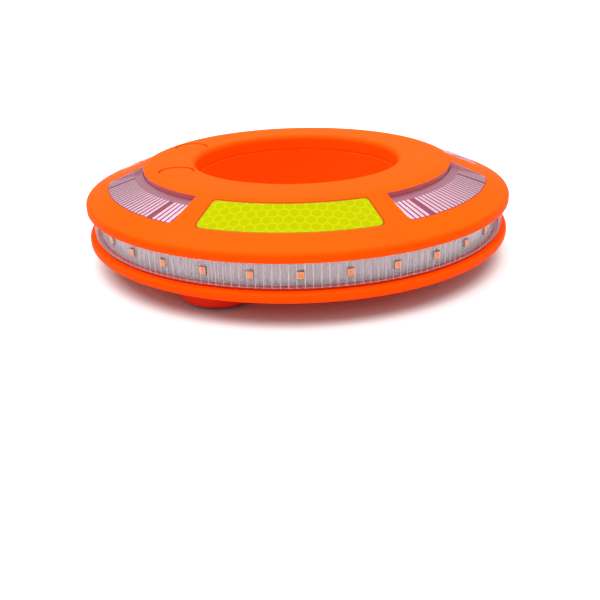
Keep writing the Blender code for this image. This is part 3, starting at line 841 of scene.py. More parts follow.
# Shrink sleeve of the cells: thin glossy PVC, drawn tight.
BLUE_PVC = Finish("PVC shrink sleeve, blue", "#1F5AA8", "#1A5099", (0.25, 0.35), 14, 1.0, 0.01)
# Seamless paper under the object: matt and almost even.
PAPER = Finish("paper backdrop", "#CFCFCF", "#CDCDCD", (0.9, 0.95), 300, 5, 0.02, specular=0.1)
# Sleeve of the loom: soft satin PVC.
BLACK_PVC = Finish("PVC sleeve, black", "#1B1B1C", "#161617", (0.5, 0.6), 8, 0.6, 0.01)


class Palette:
    """Makes each finish's material once."""

    def __init__(self) -> None:
        """Starts with no materials made."""
        self.made: dict[str, bpy.types.Material] = {}

    def dress(self, obj: bpy.types.Object, *finishes: Finish) -> None:
        """Gives an object its finishes, one material slot each.

        Args:
            obj: The object.
            *finishes: Its finishes, in the slots' order.
        """
        obj.data.materials.clear()
        for finish in finishes:
            if finish.name not in self.made:
                self.made[finish.name] = finish.material()
            obj.data.materials.append(self.made[finish.name])


# The ring's sizes


@dataclass(frozen=True)
class Plan:
    """Sizes that several pieces share. What the frame can tell comes from the frame."""

    lip_r: float
    lip_z: float
    top_z: float
    under_z: float
    bore_r: float = 65.0 * MM
    window_in_r: float = 98.2 * MM
    window_out_r: float = 120.3 * MM
    button_r: float = 10.8 * MM
    wall: float = 2.4 * MM
    lip_face_h: float = 5.1 * MM
    shoulder_r: float = 93.3 * MM
    rim_h: float = 6.3 * MM
    lens_r: float = 131.6 * MM
    lens_w: float = 3.8 * MM
    lens_h: float = 14.9 * MM
    tongue_w: float = 2.0 * MM
    tongue_h: float = 1.9 * MM
    seal_h: float = 1.3 * MM
    groove_side: float = 0.4 * MM
    groove_wall: float = 2.5 * MM
    window_half: float = 25.2
    panel_inner_depth: float = 2.9 * MM
    panel_t: float = 2.2 * MM
    gasket_t: float = 0.7 * MM
    sheet_t: float = 0.8 * MM
    sheet_sunk: float = 0.15 * MM
    post_joint_drop: float = 2.0 * MM
    bore_parting: float = 10.4 * MM
    shank_r: float = 1.9 * MM
    head_r: float = 3.6 * MM
    columns: int = 240

    @classmethod
    def from_frame(cls) -> "Plan":
        """Reads the sizes that the CAD nodes' boxes give.

        Returns:
            The plan, with its other sizes as they stand.
        """
        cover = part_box("top_cover")[1]
        lens_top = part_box("rim_lens")[1].z
        under_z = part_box("bottom_cover")[0].z
        return cls(lip_r=cover.x, lip_z=lens_top - cls.tongue_h + GAP, top_z=cover.z, under_z=under_z)

    @property
    def slope(self) -> float:
        """Fall of the top cover's slope for each metre outward."""
        return (self.top_z - self.lip_z - self.lip_face_h) / (self.lip_r - self.shoulder_r)

    @property
    def lens_in_r(self) -> float:
        """The lens's inner radius."""
        return self.lens_r - self.lens_w

    @property
    def groove_depth(self) -> float:
        """Depth of the groove that holds a seal and the lens's tongue."""
        return self.tongue_h + self.seal_h + 2 * GAP

    @property
    def inner_r(self) -> float:
        """Inside of the groove's wall."""
        return self.lens_in_r - self.groove_side - self.groove_wall

    @property
    def upstand_z(self) -> float:
        """Top of the bottom cover's upstand, under the lens."""
        return self.lip_z - self.lens_h - GAP

    def slope_z(self, radius: float) -> float:
        """Height of the slope at a radius."""
        return self.lip_z + self.lip_face_h + (self.lip_r - radius) * self.slope

    def panel_z(self, radius: float) -> float:
        """Height of a solar panel's face: flush with the slope outside and sunk inside."""
        inward = (self.window_out_r - radius) / (self.window_out_r - self.window_in_r)
        return self.slope_z(radius) - self.panel_inner_depth * inward


@dataclass
class WindowBlock:
    """A block with a window's outline, between two heights over the slope or the panel's face."""

    plan: Plan
    grow: float = 0.0
    corner_in: float = 0.0
    corner_out: float = 0.0
    steps: int = 12
    seams: tuple[float, ...] = ()
    corner_segments: int = 6
    near_degrees: float = 0.01

    def build(self, name: str, azimuth: float, top: Callable, bottom: Callable) -> bpy.types.Object:
        """Sweeps the block and rounds its four corners.

        Args:
            name: The object's name.
            azimuth: The window's middle.
            top: Height of its top for a radius.
            bottom: Height of its bottom for a radius.

        Returns:
            The closed block.
        """
        inner = self.plan.window_in_r - self.grow
        outer = self.plan.window_out_r + self.grow
        half = self.plan.window_half + math.degrees(self.grow / ((inner + outer) / 2))
        section = [(inner, top(inner)), (outer, top(outer)), (outer, bottom(outer)), (inner, bottom(inner))]
        block = swept(name, section, azimuth, half, self.steps, self.seams)
        for radius, corner in ((inner, self.corner_in), (outer, self.corner_out)):
            if corner:
                soften(
                    block,
                    corner,
                    lambda edge: self.is_corner(edge, azimuth, half, radius),
                    self.corner_segments,
                )
        return block

    def is_corner(self, edge: bmesh.types.BMEdge, azimuth: float, half: float, radius: float) -> bool:
        """Whether an edge stands at a corner of the window's outline.

        Args:
            edge: The edge.
            azimuth: The outline's middle.
            half: Half of the outline's angle.
            radius: The corner's radius.

        Returns:
            Whether it does.
        """
        one, other = (vert.co for vert in edge.verts)
        for point in (one, other):
            past = abs(abs(azimuth_off(point, azimuth)) - half)
            if past > self.near_degrees or abs(radius_of(point) - radius) > MERGE:
                return False
        return abs(one.z - other.z) > MERGE


# Sub-assemblies


@dataclass
class TopCover:
    """The upper shell: lip, slope with six windows, shoulder, flat top and the upper bore wall."""

    plan: Plan
    palette: Palette
    lip_fillet: float = 3.0 * MM
    lip_edge: float = 0.6 * MM
    shoulder_fillet: float = 20.0 * MM
    bore_fillet: float = 4.0 * MM
    post_r: float = 4.5 * MM
    screw_in: float = 8.0 * MM
    tray_wall: float = 2.2 * MM
    tray_floor: float = 1.8 * MM
    lead_hole_r: float = 2.5 * MM
    panel_corner_in: float = 1.0 * MM
    panel_corner_out: float = 2.5 * MM
    sheet_corner_out: float = 4.5 * MM
    sheet_corner_in: float = 2.5 * MM
    pocket_edge: float = 0.35 * MM
    pocket_shade_beyond: float = 0.6 * MM
    pocket_shade_beyond_deg: float = 0.4
    pocket_shade_low: float = 4.0 * MM
    pocket_shade_top: float = 0.25 * MM
    sharp: float = 40.0
    bore_clear: float = 1.0 * MM
    lip_clear: float = 5.0 * MM
    shoulder_clear: float = 3.0 * MM
    level: float = 0.05 * MM

    def build(self, panels: Sequence[float], sheets: Sequence[float], buttons: Sequence[Vector]) -> None:
        """Builds the shell.

        Args:
            panels: Azimuths of the solar windows.
            sheets: Azimuths of the reflective windows.
            buttons: The buttons' centres.
        """
        plan = self.plan
        shell = turned("top_cover_shell", self.outline(), plan.columns)
        spots = [centre_of(f"case_screw_{i + 1}") for i in range(CASE_SCREWS)]
        combine(shell, self.posts_and_trays(spots, panels), Combine.JOIN)
        combine(shell, self.holes(spots, panels, sheets, buttons), Combine.CUT)
        # The leads' holes meet the pockets, and tools of one cut must not overlap.
        middle = (plan.window_in_r + plan.window_out_r) / 2
        leads = [rod("lead", self.lead_hole_r, plan.lip_z, plan.top_z, polar(middle, a)) for a in panels]
        combine(shell, leads, Combine.CUT)
        soften(shell, self.pocket_edge, self.is_pocket_edge, 3)
        smooth(shell)
        self.palette.dress(shell, ORANGE_ABS, POCKET_WALL_SHADE, POCKET_END_REFLECTION)
        # Painted shade and reflection: pocket walls facing inward and outward take the dark mauve, the rest
        # of each pocket the pale mauve.
        for face in shell.data.polygons:
            if self.in_pocket(face, panels):
                outward = Vector((face.center.x, face.center.y, 0)).normalized()
                face.material_index = 1 if abs(face.normal.dot(outward)) > FACING else 2
        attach(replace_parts(shell, "top_cover"), "housing")
        LOG.info("top cover: %d faces", len(shell.data.polygons))

    @property
    def pocket_depth(self) -> float:
        """Depth of a panel's pocket under the panel's face."""
        return self.plan.panel_t + self.plan.gasket_t + 2 * GAP

    def posts_and_trays(self, spots: Sequence[Vector], panels: Sequence[float]) -> list[bpy.types.Object]:
        """Makes what is joined to the shell's inside.

        Args:
            spots: The case screws' centres, each with a post.
            panels: Azimuths of the solar windows, each with a tray that its panel lies in.

        Returns:
            The posts and trays.
        """
        plan = self.plan
        joint_z = plan.lip_z - plan.post_joint_drop
        roof = plan.top_z - plan.wall / 2
        made = [rod("post", self.post_r, joint_z, roof, spot) for spot in spots]
        wall = plan.wall * math.hypot(1.0, plan.slope)
        low = self.pocket_depth + self.tray_floor
        tray = WindowBlock(plan, grow=self.tray_wall)
        for azimuth in panels:
            block = tray.build(
                "tray", azimuth, lambda r: plan.slope_z(r) - wall / 2, lambda r: plan.panel_z(r) - low
            )
            made.append(block)
        return made

    def holes(
        self,
        spots: Sequence[Vector],
        panels: Sequence[float],
        sheets: Sequence[float],
        buttons: Sequence[Vector],
    ) -> list[bpy.types.Object]:
        """Makes what is cut out of the shell, apart from the holes for leads.

        Args:
            spots: The case screws' centres.
            panels: Azimuths of the solar windows.
            sheets: Azimuths of the reflective windows.
            buttons: The buttons' centres.

        Returns:
            The pockets' blocks and the holes' rods.
        """
        plan = self.plan
        above = plan.wall
        depth = self.pocket_depth
        floor = plan.sheet_sunk + plan.sheet_t + GAP
        pocket = WindowBlock(plan, GAP, self.panel_corner_in, self.panel_corner_out)
        sheet = WindowBlock(plan, GAP, self.sheet_corner_in, self.sheet_corner_out)
        taken = []
        for name, block, azimuths, bottom in (
            ("pocket", pocket, panels, lambda r: plan.panel_z(r) - depth),
            ("sheet_pocket", sheet, sheets, lambda r: plan.slope_z(r) - floor),
        ):
            for azimuth in azimuths:
                taken.append(block.build(name, azimuth, lambda r: plan.slope_z(r) + above, bottom))
        joint_z = plan.lip_z - plan.post_joint_drop
        top = joint_z + self.screw_in + GAP
        taken += [rod("shank", plan.shank_r, joint_z - above, top, spot) for spot in spots]
        low, high = plan.top_z - 2 * plan.wall, plan.top_z + plan.wall
        taken += [rod("button_hole", plan.button_r + GAP, low, high, spot, 96) for spot in buttons]
        return taken

    def outline(self) -> list[tuple[float, float]]:
        """Draws the shell's section, from the shoulder outward and round.

        Returns:
            Its (r, z) points.
        """
        plan = self.plan
        wall = plan.wall * math.hypot(1.0, plan.slope)
        inner_shoulder = plan.shoulder_r - (wall - plan.wall) / plan.slope
        groove_in = plan.lens_in_r - plan.groove_side
        groove_out = plan.lens_in_r + plan.tongue_w + plan.groove_side
        parting = plan.top_z - plan.bore_parting
        return rounded(
            [
                (plan.shoulder_r, plan.top_z, self.shoulder_fillet),
                (plan.lip_r, plan.lip_z + plan.lip_face_h, self.lip_fillet),
                (plan.lip_r, plan.lip_z, self.lip_edge),
                (groove_out, plan.lip_z),
                (groove_out, plan.lip_z + plan.groove_depth),
                (groove_in, plan.lip_z + plan.groove_depth),
                (groove_in, plan.lip_z),
                (plan.inner_r, plan.lip_z),
                (plan.inner_r, plan.slope_z(plan.inner_r) - wall),
                (inner_shoulder, plan.top_z - plan.wall),
                (plan.bore_r + plan.wall, plan.top_z - plan.wall),
                (plan.bore_r + plan.wall, parting),
                (plan.bore_r, parting, GAP),
                (plan.bore_r, plan.top_z, self.bore_fillet),
            ],
            step=4.0,
        )

    def in_pocket(self, face: bpy.types.MeshPolygon, panels: Sequence[float]) -> bool:
        """Tells a pocket's walls from the shell's other faces.

        Args:
            face: The face.
            panels: Azimuths of the solar windows.

        Returns:
            Whether the face is a wall of a panel's pocket.
        """
        plan, middle = self.plan, face.center
        radius = radius_of(middle)
        if not plan.window_in_r - self.pocket_shade_beyond < radius < plan.window_out_r + self.pocket_shade_beyond:
            return False
        low, high = plan.panel_z(radius) - self.pocket_shade_low, plan.slope_z(radius) - self.pocket_shade_top
        if not low < middle.z < high:
            return False
        nearest = min(abs(azimuth_off(middle, azimuth)) for azimuth in panels)
        return nearest < plan.window_half + self.pocket_shade_beyond_deg

    def is_pocket_edge(self, edge: bmesh.types.BMEdge) -> bool:
        """Tells the windows' and buttons' rims from the shell's other edges.

        Args:
            edge: The edge.

        Returns:
            Whether it is sharp and lies on the outer surface.
        """
        plan = self.plan
        if not is_sharp(edge, self.sharp):
            return False
        for vert in edge.verts:
            radius = radius_of(vert.co)
            if not plan.bore_r + self.bore_clear <= radius <= plan.lip_r - self.lip_clear:
                return False
            on_slope = radius > plan.shoulder_r + self.shoulder_clear
            outer = plan.slope_z(radius) if on_slope else plan.top_z
            if abs(vert.co.z - outer) > self.level:
                return False
        return True


@dataclass
class BottomCover:
    """The lower shell: collar in the bore, floor, rounded rim and the upstand under the lens."""

    plan: Plan
    palette: Palette
    collar_step: float = 1.0 * MM
    collar_w: float = 4.0 * MM
    seal_step_h: float = 3.0 * MM
    rim_inset: float = 0.1 * MM
    seam_depth: float = 0.9 * MM
    rim_fillet: float = 3.1 * MM
    rim_crown: float = 1.5 * MM
    under_fillet: float = 1.8 * MM
    collar_edge: float = 0.35 * MM
    post_r: float = 6.0 * MM
    foot_boss_r: float = 5.0 * MM
    foot_boss_h: float = 11.2 * MM
    head_depth: float = 7.8 * MM
    foot_screw_tip: float = 10.0 * MM
    tab_at: float = 182.5
    tab_w: float = 2.6 * MM
    tab_h: float = 1.8 * MM
    tab_out: float = 0.8 * MM
    tab_edge: float = 0.2 * MM
    tab_root: float = 3.0
    tab_lean: float = 1.2
    seat_edge: float = 0.4 * MM
    seam_shade_reach: float = 1.1 * MM
    sharp: float = 60.0
    level: float = 0.02 * MM

    def build(self, feet: Sequence[Vector]) -> None:
        """Builds the shell.

        Args:
            feet: The feet's centres.
        """
        plan = self.plan
        shell = turned("bottom_cover_shell", self.outline(), plan.columns)
        spots = [centre_of(f"case_screw_{i + 1}") for i in range(CASE_SCREWS)]
        floor = plan.under_z + plan.wall
        joint_z = plan.lip_z - plan.post_joint_drop - GAP
        low = floor - plan.wall / 2
        posts = [rod("post", self.post_r, low, joint_z, spot) for spot in spots]
        posts += [rod("boss", self.foot_boss_r, low, floor + self.foot_boss_h, spot) for spot in feet]
        combine(shell, posts, Combine.JOIN)
        combine(shell, [self.tab()], Combine.JOIN)
        below = plan.under_z - plan.wall
        taken = [rod("seat", plan.head_r + GAP, below, plan.under_z + self.head_depth, s, 48) for s in spots]
        taken += [rod("hole", plan.shank_r + GAP, plan.under_z, joint_z + plan.wall, spot) for spot in spots]
        tip = plan.under_z + self.foot_screw_tip + GAP
        taken += [rod("foot_hole", plan.shank_r + GAP, below, tip, spot) for spot in feet]
        combine(shell, taken, Combine.CUT)
        soften(shell, self.seat_edge, self.is_seat_edge, 3)
        smooth(shell)
        self.palette.dress(shell, ORANGE_ABS, SEAM_SHADE_ABS)
        # Painted shade: the seam wall under the lens takes the darker skin.
        rim_top = plan.under_z + plan.rim_h
        for face in shell.data.polygons:
            in_height = rim_top - MERGE < face.center.z < plan.upstand_z + MERGE
            near_lens = plan.lens_r - self.seam_shade_reach < radius_of(face.center) < plan.lens_r + GAP
            face.material_index = int(in_height and near_lens)
        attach(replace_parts(shell, "bottom_cover"), "housing")
        LOG.info("bottom cover: %d faces", len(shell.data.polygons))

    def outline(self) -> list[tuple[float, float]]:
        """Draws the shell's section, from the collar's top outward and round.

        Returns:
            Its (r, z) points.
        """
        plan = self.plan
        collar_in = plan.bore_r - self.collar_step
        step_r = collar_in + self.collar_w / 2
        parting = plan.top_z - plan.bore_parting - GAP
        floor = plan.under_z + plan.wall
        groove_in = plan.lens_in_r - plan.groove_side
        groove_out = plan.lens_in_r + plan.tongue_w + plan.groove_side
        groove_low = plan.upstand_z + GAP - plan.groove_depth
        rim_out = plan.lip_r - self.rim_inset
        rim_top = plan.under_z + plan.rim_h
        return rounded(
            [
                (collar_in, parting, self.collar_edge),
                (step_r, parting),
                (step_r, parting - self.seal_step_h),
                (collar_in + self.collar_w, parting - self.seal_step_h),
                (collar_in + self.collar_w, floor),
                (plan.inner_r, floor),
                (plan.inner_r, plan.upstand_z),
                (groove_in, plan.upstand_z),
                (groove_in, groove_low),
                (groove_out, groove_low),
                (groove_out, plan.upstand_z),
                (plan.lens_r - self.seam_depth, plan.upstand_z),
                (plan.lens_r - self.seam_depth, rim_top),
                (rim_out, rim_top, self.rim_crown),
                (rim_out, plan.under_z, self.rim_fillet),
                (collar_in, plan.under_z, self.under_fillet),
            ],
            step=9.0,
        )

    def tab(self) -> bpy.types.Object:
        """A small wedge inside the bore, just under the joint, that marks the covers' position.

        Returns:
            The wedge, in its place.
        """
        plan = self.plan
        collar_in = plan.bore_r - self.collar_step
        top = plan.top_z - plan.bore_parting - GAP
        deselect()
        bpy.ops.mesh.primitive_cube_add(
            size=1.0,
            location=(0, -(collar_in + self.tab_out / 2), top - self.tab_h / 2),
            scale=(self.tab_w, self.tab_out * self.tab_root, self.tab_h),
        )
        tab = added("tab")
        edit(tab)
        pick(tab, Pick.VERT, lambda v: v.co.y > -collar_in and v.co.z < top - self.tab_h / 2)
        bpy.ops.transform.translate(value=(0, -self.tab_out * self.tab_lean, 0))
        pick(tab, Pick.EDGE, lambda e: all(v.co.y > -collar_in and v.co.z > top - MERGE for v in e.verts))
        bpy.ops.mesh.bevel(offset=self.tab_edge, segments=2, affect="EDGES")
        leave_edit()
        return placed(tab, Vector((0, 0, 0)), self.tab_at)

    def is_seat_edge(self, edge: bmesh.types.BMEdge) -> bool:
        """Whether an edge is the mouth of a counterbore in the underside."""
        level = all(abs(vert.co.z - self.plan.under_z) < self.level for vert in edge.verts)
        return level and is_sharp(edge, self.sharp)


@dataclass
class RimLens:
    """The fluted band of clear polycarbonate, with a tongue above and below."""

    plan: Plan
    palette: Palette
    flutes: int = 192
    columns_a_flute: int = 4
    flute_depth: float = 0.25 * MM
    # Share of the depth, and where it starts and ends across a flute. The middle moves twice.
    hollows: tuple[tuple[float, float, float], ...] = ((1.0, 0.4, 0.6), (0.375, 0.2, 0.8))
    nudge: float = 1 / 32

    def build(self) -> None:
        """Turns the band and draws its flutes in from the outer face."""
        plan = self.plan
        low, high = plan.lip_z - plan.lens_h, plan.lip_z - GAP
        tongue_r = plan.lens_in_r + plan.tongue_w
        outline = rounded(
            [
                (plan.lens_in_r, high + plan.tongue_h),
                (tongue_r, high + plan.tongue_h),
                (tongue_r, high),
                (plan.lens_r, high, GAP),
                (plan.lens_r, low, GAP),
                (tongue_r, low),
                (tongue_r, low - plan.tongue_h),
                (plan.lens_in_r, low - plan.tongue_h),
            ],
            step=45.0,
        )
        lens = turned("rim_lens_fluted", outline, self.flutes * self.columns_a_flute)
        edit(lens)
        for depth, start, end in self.hollows:
            pick(lens, Pick.VERT, lambda vert: self.in_hollow(vert, start, end))
            factor = 1.0 - self.flute_depth * depth / plan.lens_r
            bpy.ops.transform.resize(value=(factor, factor, 1), center_override=(0, 0, 0))
        leave_edit()
        smooth(lens, 25.0, weighted=False)
        self.palette.dress(lens, CLEAR_PC, FROSTED_PC)
        for face in lens.data.polygons:
            on_tongue = not low + MERGE < face.center.z < high - MERGE
            face.material_index = int(on_tongue or abs(face.normal.z) > FACING)
        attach(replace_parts(lens, "rim_lens"), "housing")
        LOG.info("rim lens: %d faces", len(lens.data.polygons))

    def in_hollow(self, vert: bmesh.types.BMVert, start: float, end: float) -> bool:
        """Whether a vertex lies on the outer face, in part of its flute.

        Args:
            vert: The vertex.
            start: Where the part starts, as a share of the flute's width.
            end: Where it ends.

        Returns:
            Whether it does.
        """
        pitch = 360.0 / self.flutes
        across = (azimuth_of(vert.co) / pitch + self.nudge) % 1.0
        return radius_of(vert.co) > self.plan.lens_r - 2 * GAP and start < across < end


@dataclass
class LedStrip:
    """The strip board standing behind the lens, with its LEDs."""

    plan: Plan
    palette: Palette
    count: int = 30
    phase: float = 2.7
    side: float = 4.4 * MM
    proud: float = 1.5 * MM
    lens_gap: float = 0.4 * MM
    board_w: float = 1.0 * MM
    foot_t: float = 0.3 * MM
    drop: float = 9.3 * MM
    top_drop: float = 1.0 * MM
    board_edge: float = 0.15 * MM
    body_edge: float = 0.2 * MM
    # Thickness and depth of each step from the body's frame in to the window.
    insets: tuple[tuple[float, float], ...] = (
        (0.12 * MM, 0.0),
        (0.06 * MM, -0.08 * MM),
        (0.38 * MM, 0.02 * MM),
    )
    face_depth: float = 0.15 * MM
    facing_out: float = 0.99
    facing: float = 0.9
    amber_share: float = 0.78
    rim_share: float = 0.93

    def build(self) -> None:
        """Builds the board, one LED, and the rest as its copies."""
        plan = self.plan
        face_r = plan.lens_in_r - self.lens_gap
        board_r = face_r - self.proud
        low, high = plan.upstand_z + GAP, plan.lip_z - self.top_drop
        edge = self.board_edge
        outline = rounded(
            [
                (board_r - self.board_w, high, edge),
                (board_r, high, edge),
                (board_r, low + self.foot_t),
                (face_r, low + self.foot_t),
                (face_r, low),
                (board_r - self.board_w, low, edge),
            ],
            step=45.0,
        )
        board = turned("led_strip_board", outline, plan.columns)
        smooth(board)
        self.palette.dress(board, WHITE_MASK)
        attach(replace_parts(board, "led_strip"), "housing")
        first = self.led(board_r, face_r)
        names = [f"led_{i + 1:02d}" for i in range(1, self.count)]
        others = copies(first, names)
        for i, led in enumerate([first, *others]):
            placed(led, Vector((0, 0, 0)), self.phase + 360.0 * i / self.count)
            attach(led, "housing")
        LOG.info("led strip: %d LEDs", self.count)

    def led(self, board_r: float, face_r: float) -> bpy.types.Object:
        """One LED at azimuth 0: a body with a framed amber window.

        Args:
            board_r: Radius of the board that it stands on.
            face_r: Radius of its face.

        Returns:
            The LED.
        """
        deselect()
        depth = face_r - board_r
        z = self.plan.lip_z - self.drop
        place = (0, -(face_r + board_r) / 2, z)
        bpy.ops.mesh.primitive_cube_add(size=1.0, location=place, scale=(self.side, depth, self.side))
        led = added("led_01")
        edit(led)
        pick(led, Pick.EDGE, lambda e: all(v.co.y < place[1] for v in e.verts))
        bpy.ops.mesh.bevel(offset=self.body_edge, segments=2, affect="EDGES")
        pick(led, Pick.FACE, lambda f: f.normal.y < -self.facing_out)
        for thickness, depth in self.insets:
            bpy.ops.mesh.inset(thickness=thickness, depth=depth)
        leave_edit()
        self.palette.dress(led, LED_BODY_SHADED, LED_RIM, LED_AMBER)
        for face in led.data.polygons:
            if face.normal.y > -self.facing or face.center.y > self.face_depth - face_r:
                continue
            corners = [led.data.vertices[i].co for i in face.vertices]
            reach = max(max(abs(corner.x), abs(corner.z - z)) for corner in corners) / (self.side / 2)
            if reach < self.amber_share:
                face.material_index = 2
            elif reach < self.rim_share:
                face.material_index = 1
        smooth(led, weighted=False)
        return led


@dataclass
class SolarPanel:
    """One solar window: a sunk plate with raised bars painted bright as reflections, and an inner margin
    painted mauve as the wall's reflection.
    """

    plan: Plan
    palette: Palette
    corner_in: float = 0.9 * MM
    corner_out: float = 2.4 * MM
    bars: int = 29
    parts_a_bar: int = 4
    wide_at: tuple[int, int] = (4, 24)
    reflection_edge_r: float = 103.2 * MM
    bar_edge: float = 0.12 * MM
    bar_height: float = 0.2 * MM

    def build(self, side: str, azimuth: float) -> None:
        """Builds one panel.

        Args:
            side: The panel's name after "solar_panel_".
            azimuth: Its middle.
        """
        plan = self.plan
        block = WindowBlock(plan, steps=self.bars * self.parts_a_bar, seams=(self.reflection_edge_r,))
        name = "solar_panel_" + side
        panel = block.build(
            name + "_laminate", azimuth, plan.panel_z, lambda r: plan.panel_z(r) - plan.panel_t
        )
        edit(panel)
        pick(panel, Pick.FACE, lambda face: self.is_bar(face, azimuth))
        bpy.ops.mesh.inset(thickness=self.bar_edge, depth=self.bar_height, use_boundary=True)
        leave_edit()
        self.palette.dress(panel, CELL_FACE, CELL_BAR_REFLECTION, CELL_MARGIN_REFLECTION)
        # Painted reflection: the bars take the bright finish, the margin inside them the mauve one.
        for face in panel.data.polygons:
            if face.select:
                face.material_index = 1
            elif radius_of(face.center) < self.reflection_edge_r:
                face.material_index = 2
        # So many narrow columns leave no room to round the corners, so a coarser block trims them.
        over = 2 * self.bar_height
        low = plan.panel_t + over
        trim = WindowBlock(plan, 0.0, self.corner_in, self.corner_out).build(
            "trim", azimuth, lambda r: plan.panel_z(r) + over, lambda r: plan.panel_z(r) - low
        )
        combine(panel, [trim], Combine.KEEP)
        smooth(panel, 20.0, weighted=False)
        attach(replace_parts(panel, name), "housing")
        LOG.info("%s: %d faces", name, len(panel.data.polygons))

    def is_bar(self, face: bmesh.types.BMFace, azimuth: float) -> bool:
        """Tells the bars, painted bright as reflections, from the rest of the plate.

        Args:
            face: A face of the plate.
            azimuth: The plate's middle.

        Returns:
            Whether the face belongs to a bar.
        """
        middle = face.calc_center_median()
        if face.normal.z < FACING or radius_of(middle) < self.reflection_edge_r:
            return False
        half = self.plan.window_half
        across = (azimuth_off(middle, azimuth) + half) / (2 * half) * self.bars
        return int(across) not in self.wide_at and across % 1.0 < 1 - 1 / self.parts_a_bar


@dataclass
class ReflectiveSheet:
    """A honeycomb sheet lying in its window, with a rolled edge."""

    plan: Plan
    palette: Palette
    corner_out: float = 4.5 * MM
    corner_in: float = 2.5 * MM
    edge: float = 0.25 * MM
    sealed_shade_w: float = 0.4 * MM
    facing_up: float = 0.85
    least_area: float = 3.0 * MM * MM
    sharp: float = 50.0
    level: float = 0.05 * MM

    def build(self, side: str, azimuth: float) -> None:
        """Builds one sheet.

        Args:
            side: The sheet's name after "reflector_".
            azimuth: Its middle.
        """
        plan = self.plan
        name = "reflector_" + side
        block = WindowBlock(plan, 0.0, self.corner_in, self.corner_out)
        sheet = block.build(
            name + "_sheet",
            azimuth,
            lambda r: plan.slope_z(r) - plan.sheet_sunk,
            lambda r: plan.slope_z(r) - plan.sheet_sunk - plan.sheet_t,
        )
        soften(sheet, self.edge, self.is_top_edge, 3)
        edit(sheet)
        pick(sheet, Pick.FACE, lambda f: f.normal.z > self.facing_up and f.calc_area() > self.least_area)
        bpy.ops.mesh.inset(thickness=self.sealed_shade_w, depth=0)
        leave_edit()
        smooth(sheet)
        self.palette.dress(sheet, LIME_SHEET, SHEET_EDGE_SHADED)
        # Painted shadow: the border band and the sheet's sides take the dark edge finish.
        for face in sheet.data.polygons:
            if not face.select:
                face.material_index = 1
        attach(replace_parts(sheet, name), "housing")
        LOG.info("%s: %d faces", name, len(sheet.data.polygons))

    def is_top_edge(self, edge: bmesh.types.BMEdge) -> bool:
        """Tells the rim of the sheet's face from its other edges.

        Args:
            edge: The edge.

        Returns:
            Whether it runs round the face.
        """
        low = self.plan.sheet_sunk + self.level
        level = all(self.plan.slope_z(radius_of(v.co)) - v.co.z < low for v in edge.verts)
        return level and is_sharp(edge, self.sharp)


@dataclass
class PushButton:
    """A round cap, level with the top, on a flange and a stem."""

    plan: Plan
    palette: Palette
    edge: float = 0.8 * MM
    dish: float = 0.15 * MM
    dish_share: float = 0.75
    dish_round: float = 8.0 * MM
    flange_w: float = 1.1 * MM
    flange_t: float = 1.6 * MM
    seal_t: float = 1.5 * MM
    stem_r: float = 2.5 * MM
    columns: int = 72

    def build(self, label: str) -> None:
        """Builds the button.

        Args:
            label: The button's name before "_button", which its CAD node and body share.
        """
        plan = self.plan
        name = label + "_button"
        cap_r = plan.button_r
        stem_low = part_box(name)[0].z
        flange_top = plan.top_z - plan.wall - self.seal_t - 2 * GAP
        flange_low = flange_top - self.flange_t
        outline = rounded(
            [
                (0.0, plan.top_z - self.dish),
                (cap_r * self.dish_share, plan.top_z - self.dish, self.dish_round),
                (cap_r - self.edge * 2, plan.top_z, self.edge),
                (cap_r, plan.top_z - self.edge, self.edge),
                (cap_r, flange_top),
                (cap_r + self.flange_w, flange_top, GAP),
                (cap_r + self.flange_w, flange_low, GAP),
                (self.stem_r, flange_low, GAP),
                (self.stem_r, stem_low, GAP),
                (0.0, stem_low),
            ],
            step=15.0,
        )
        cap = turned(name + "_cap", outline, self.columns)
        placed(cap, centre_of(name))
        smooth(cap)
        self.palette.dress(cap, ORANGE_ABS)
        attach(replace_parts(cap, name), name)
        LOG.info("%s: %d faces", name, len(cap.data.polygons))


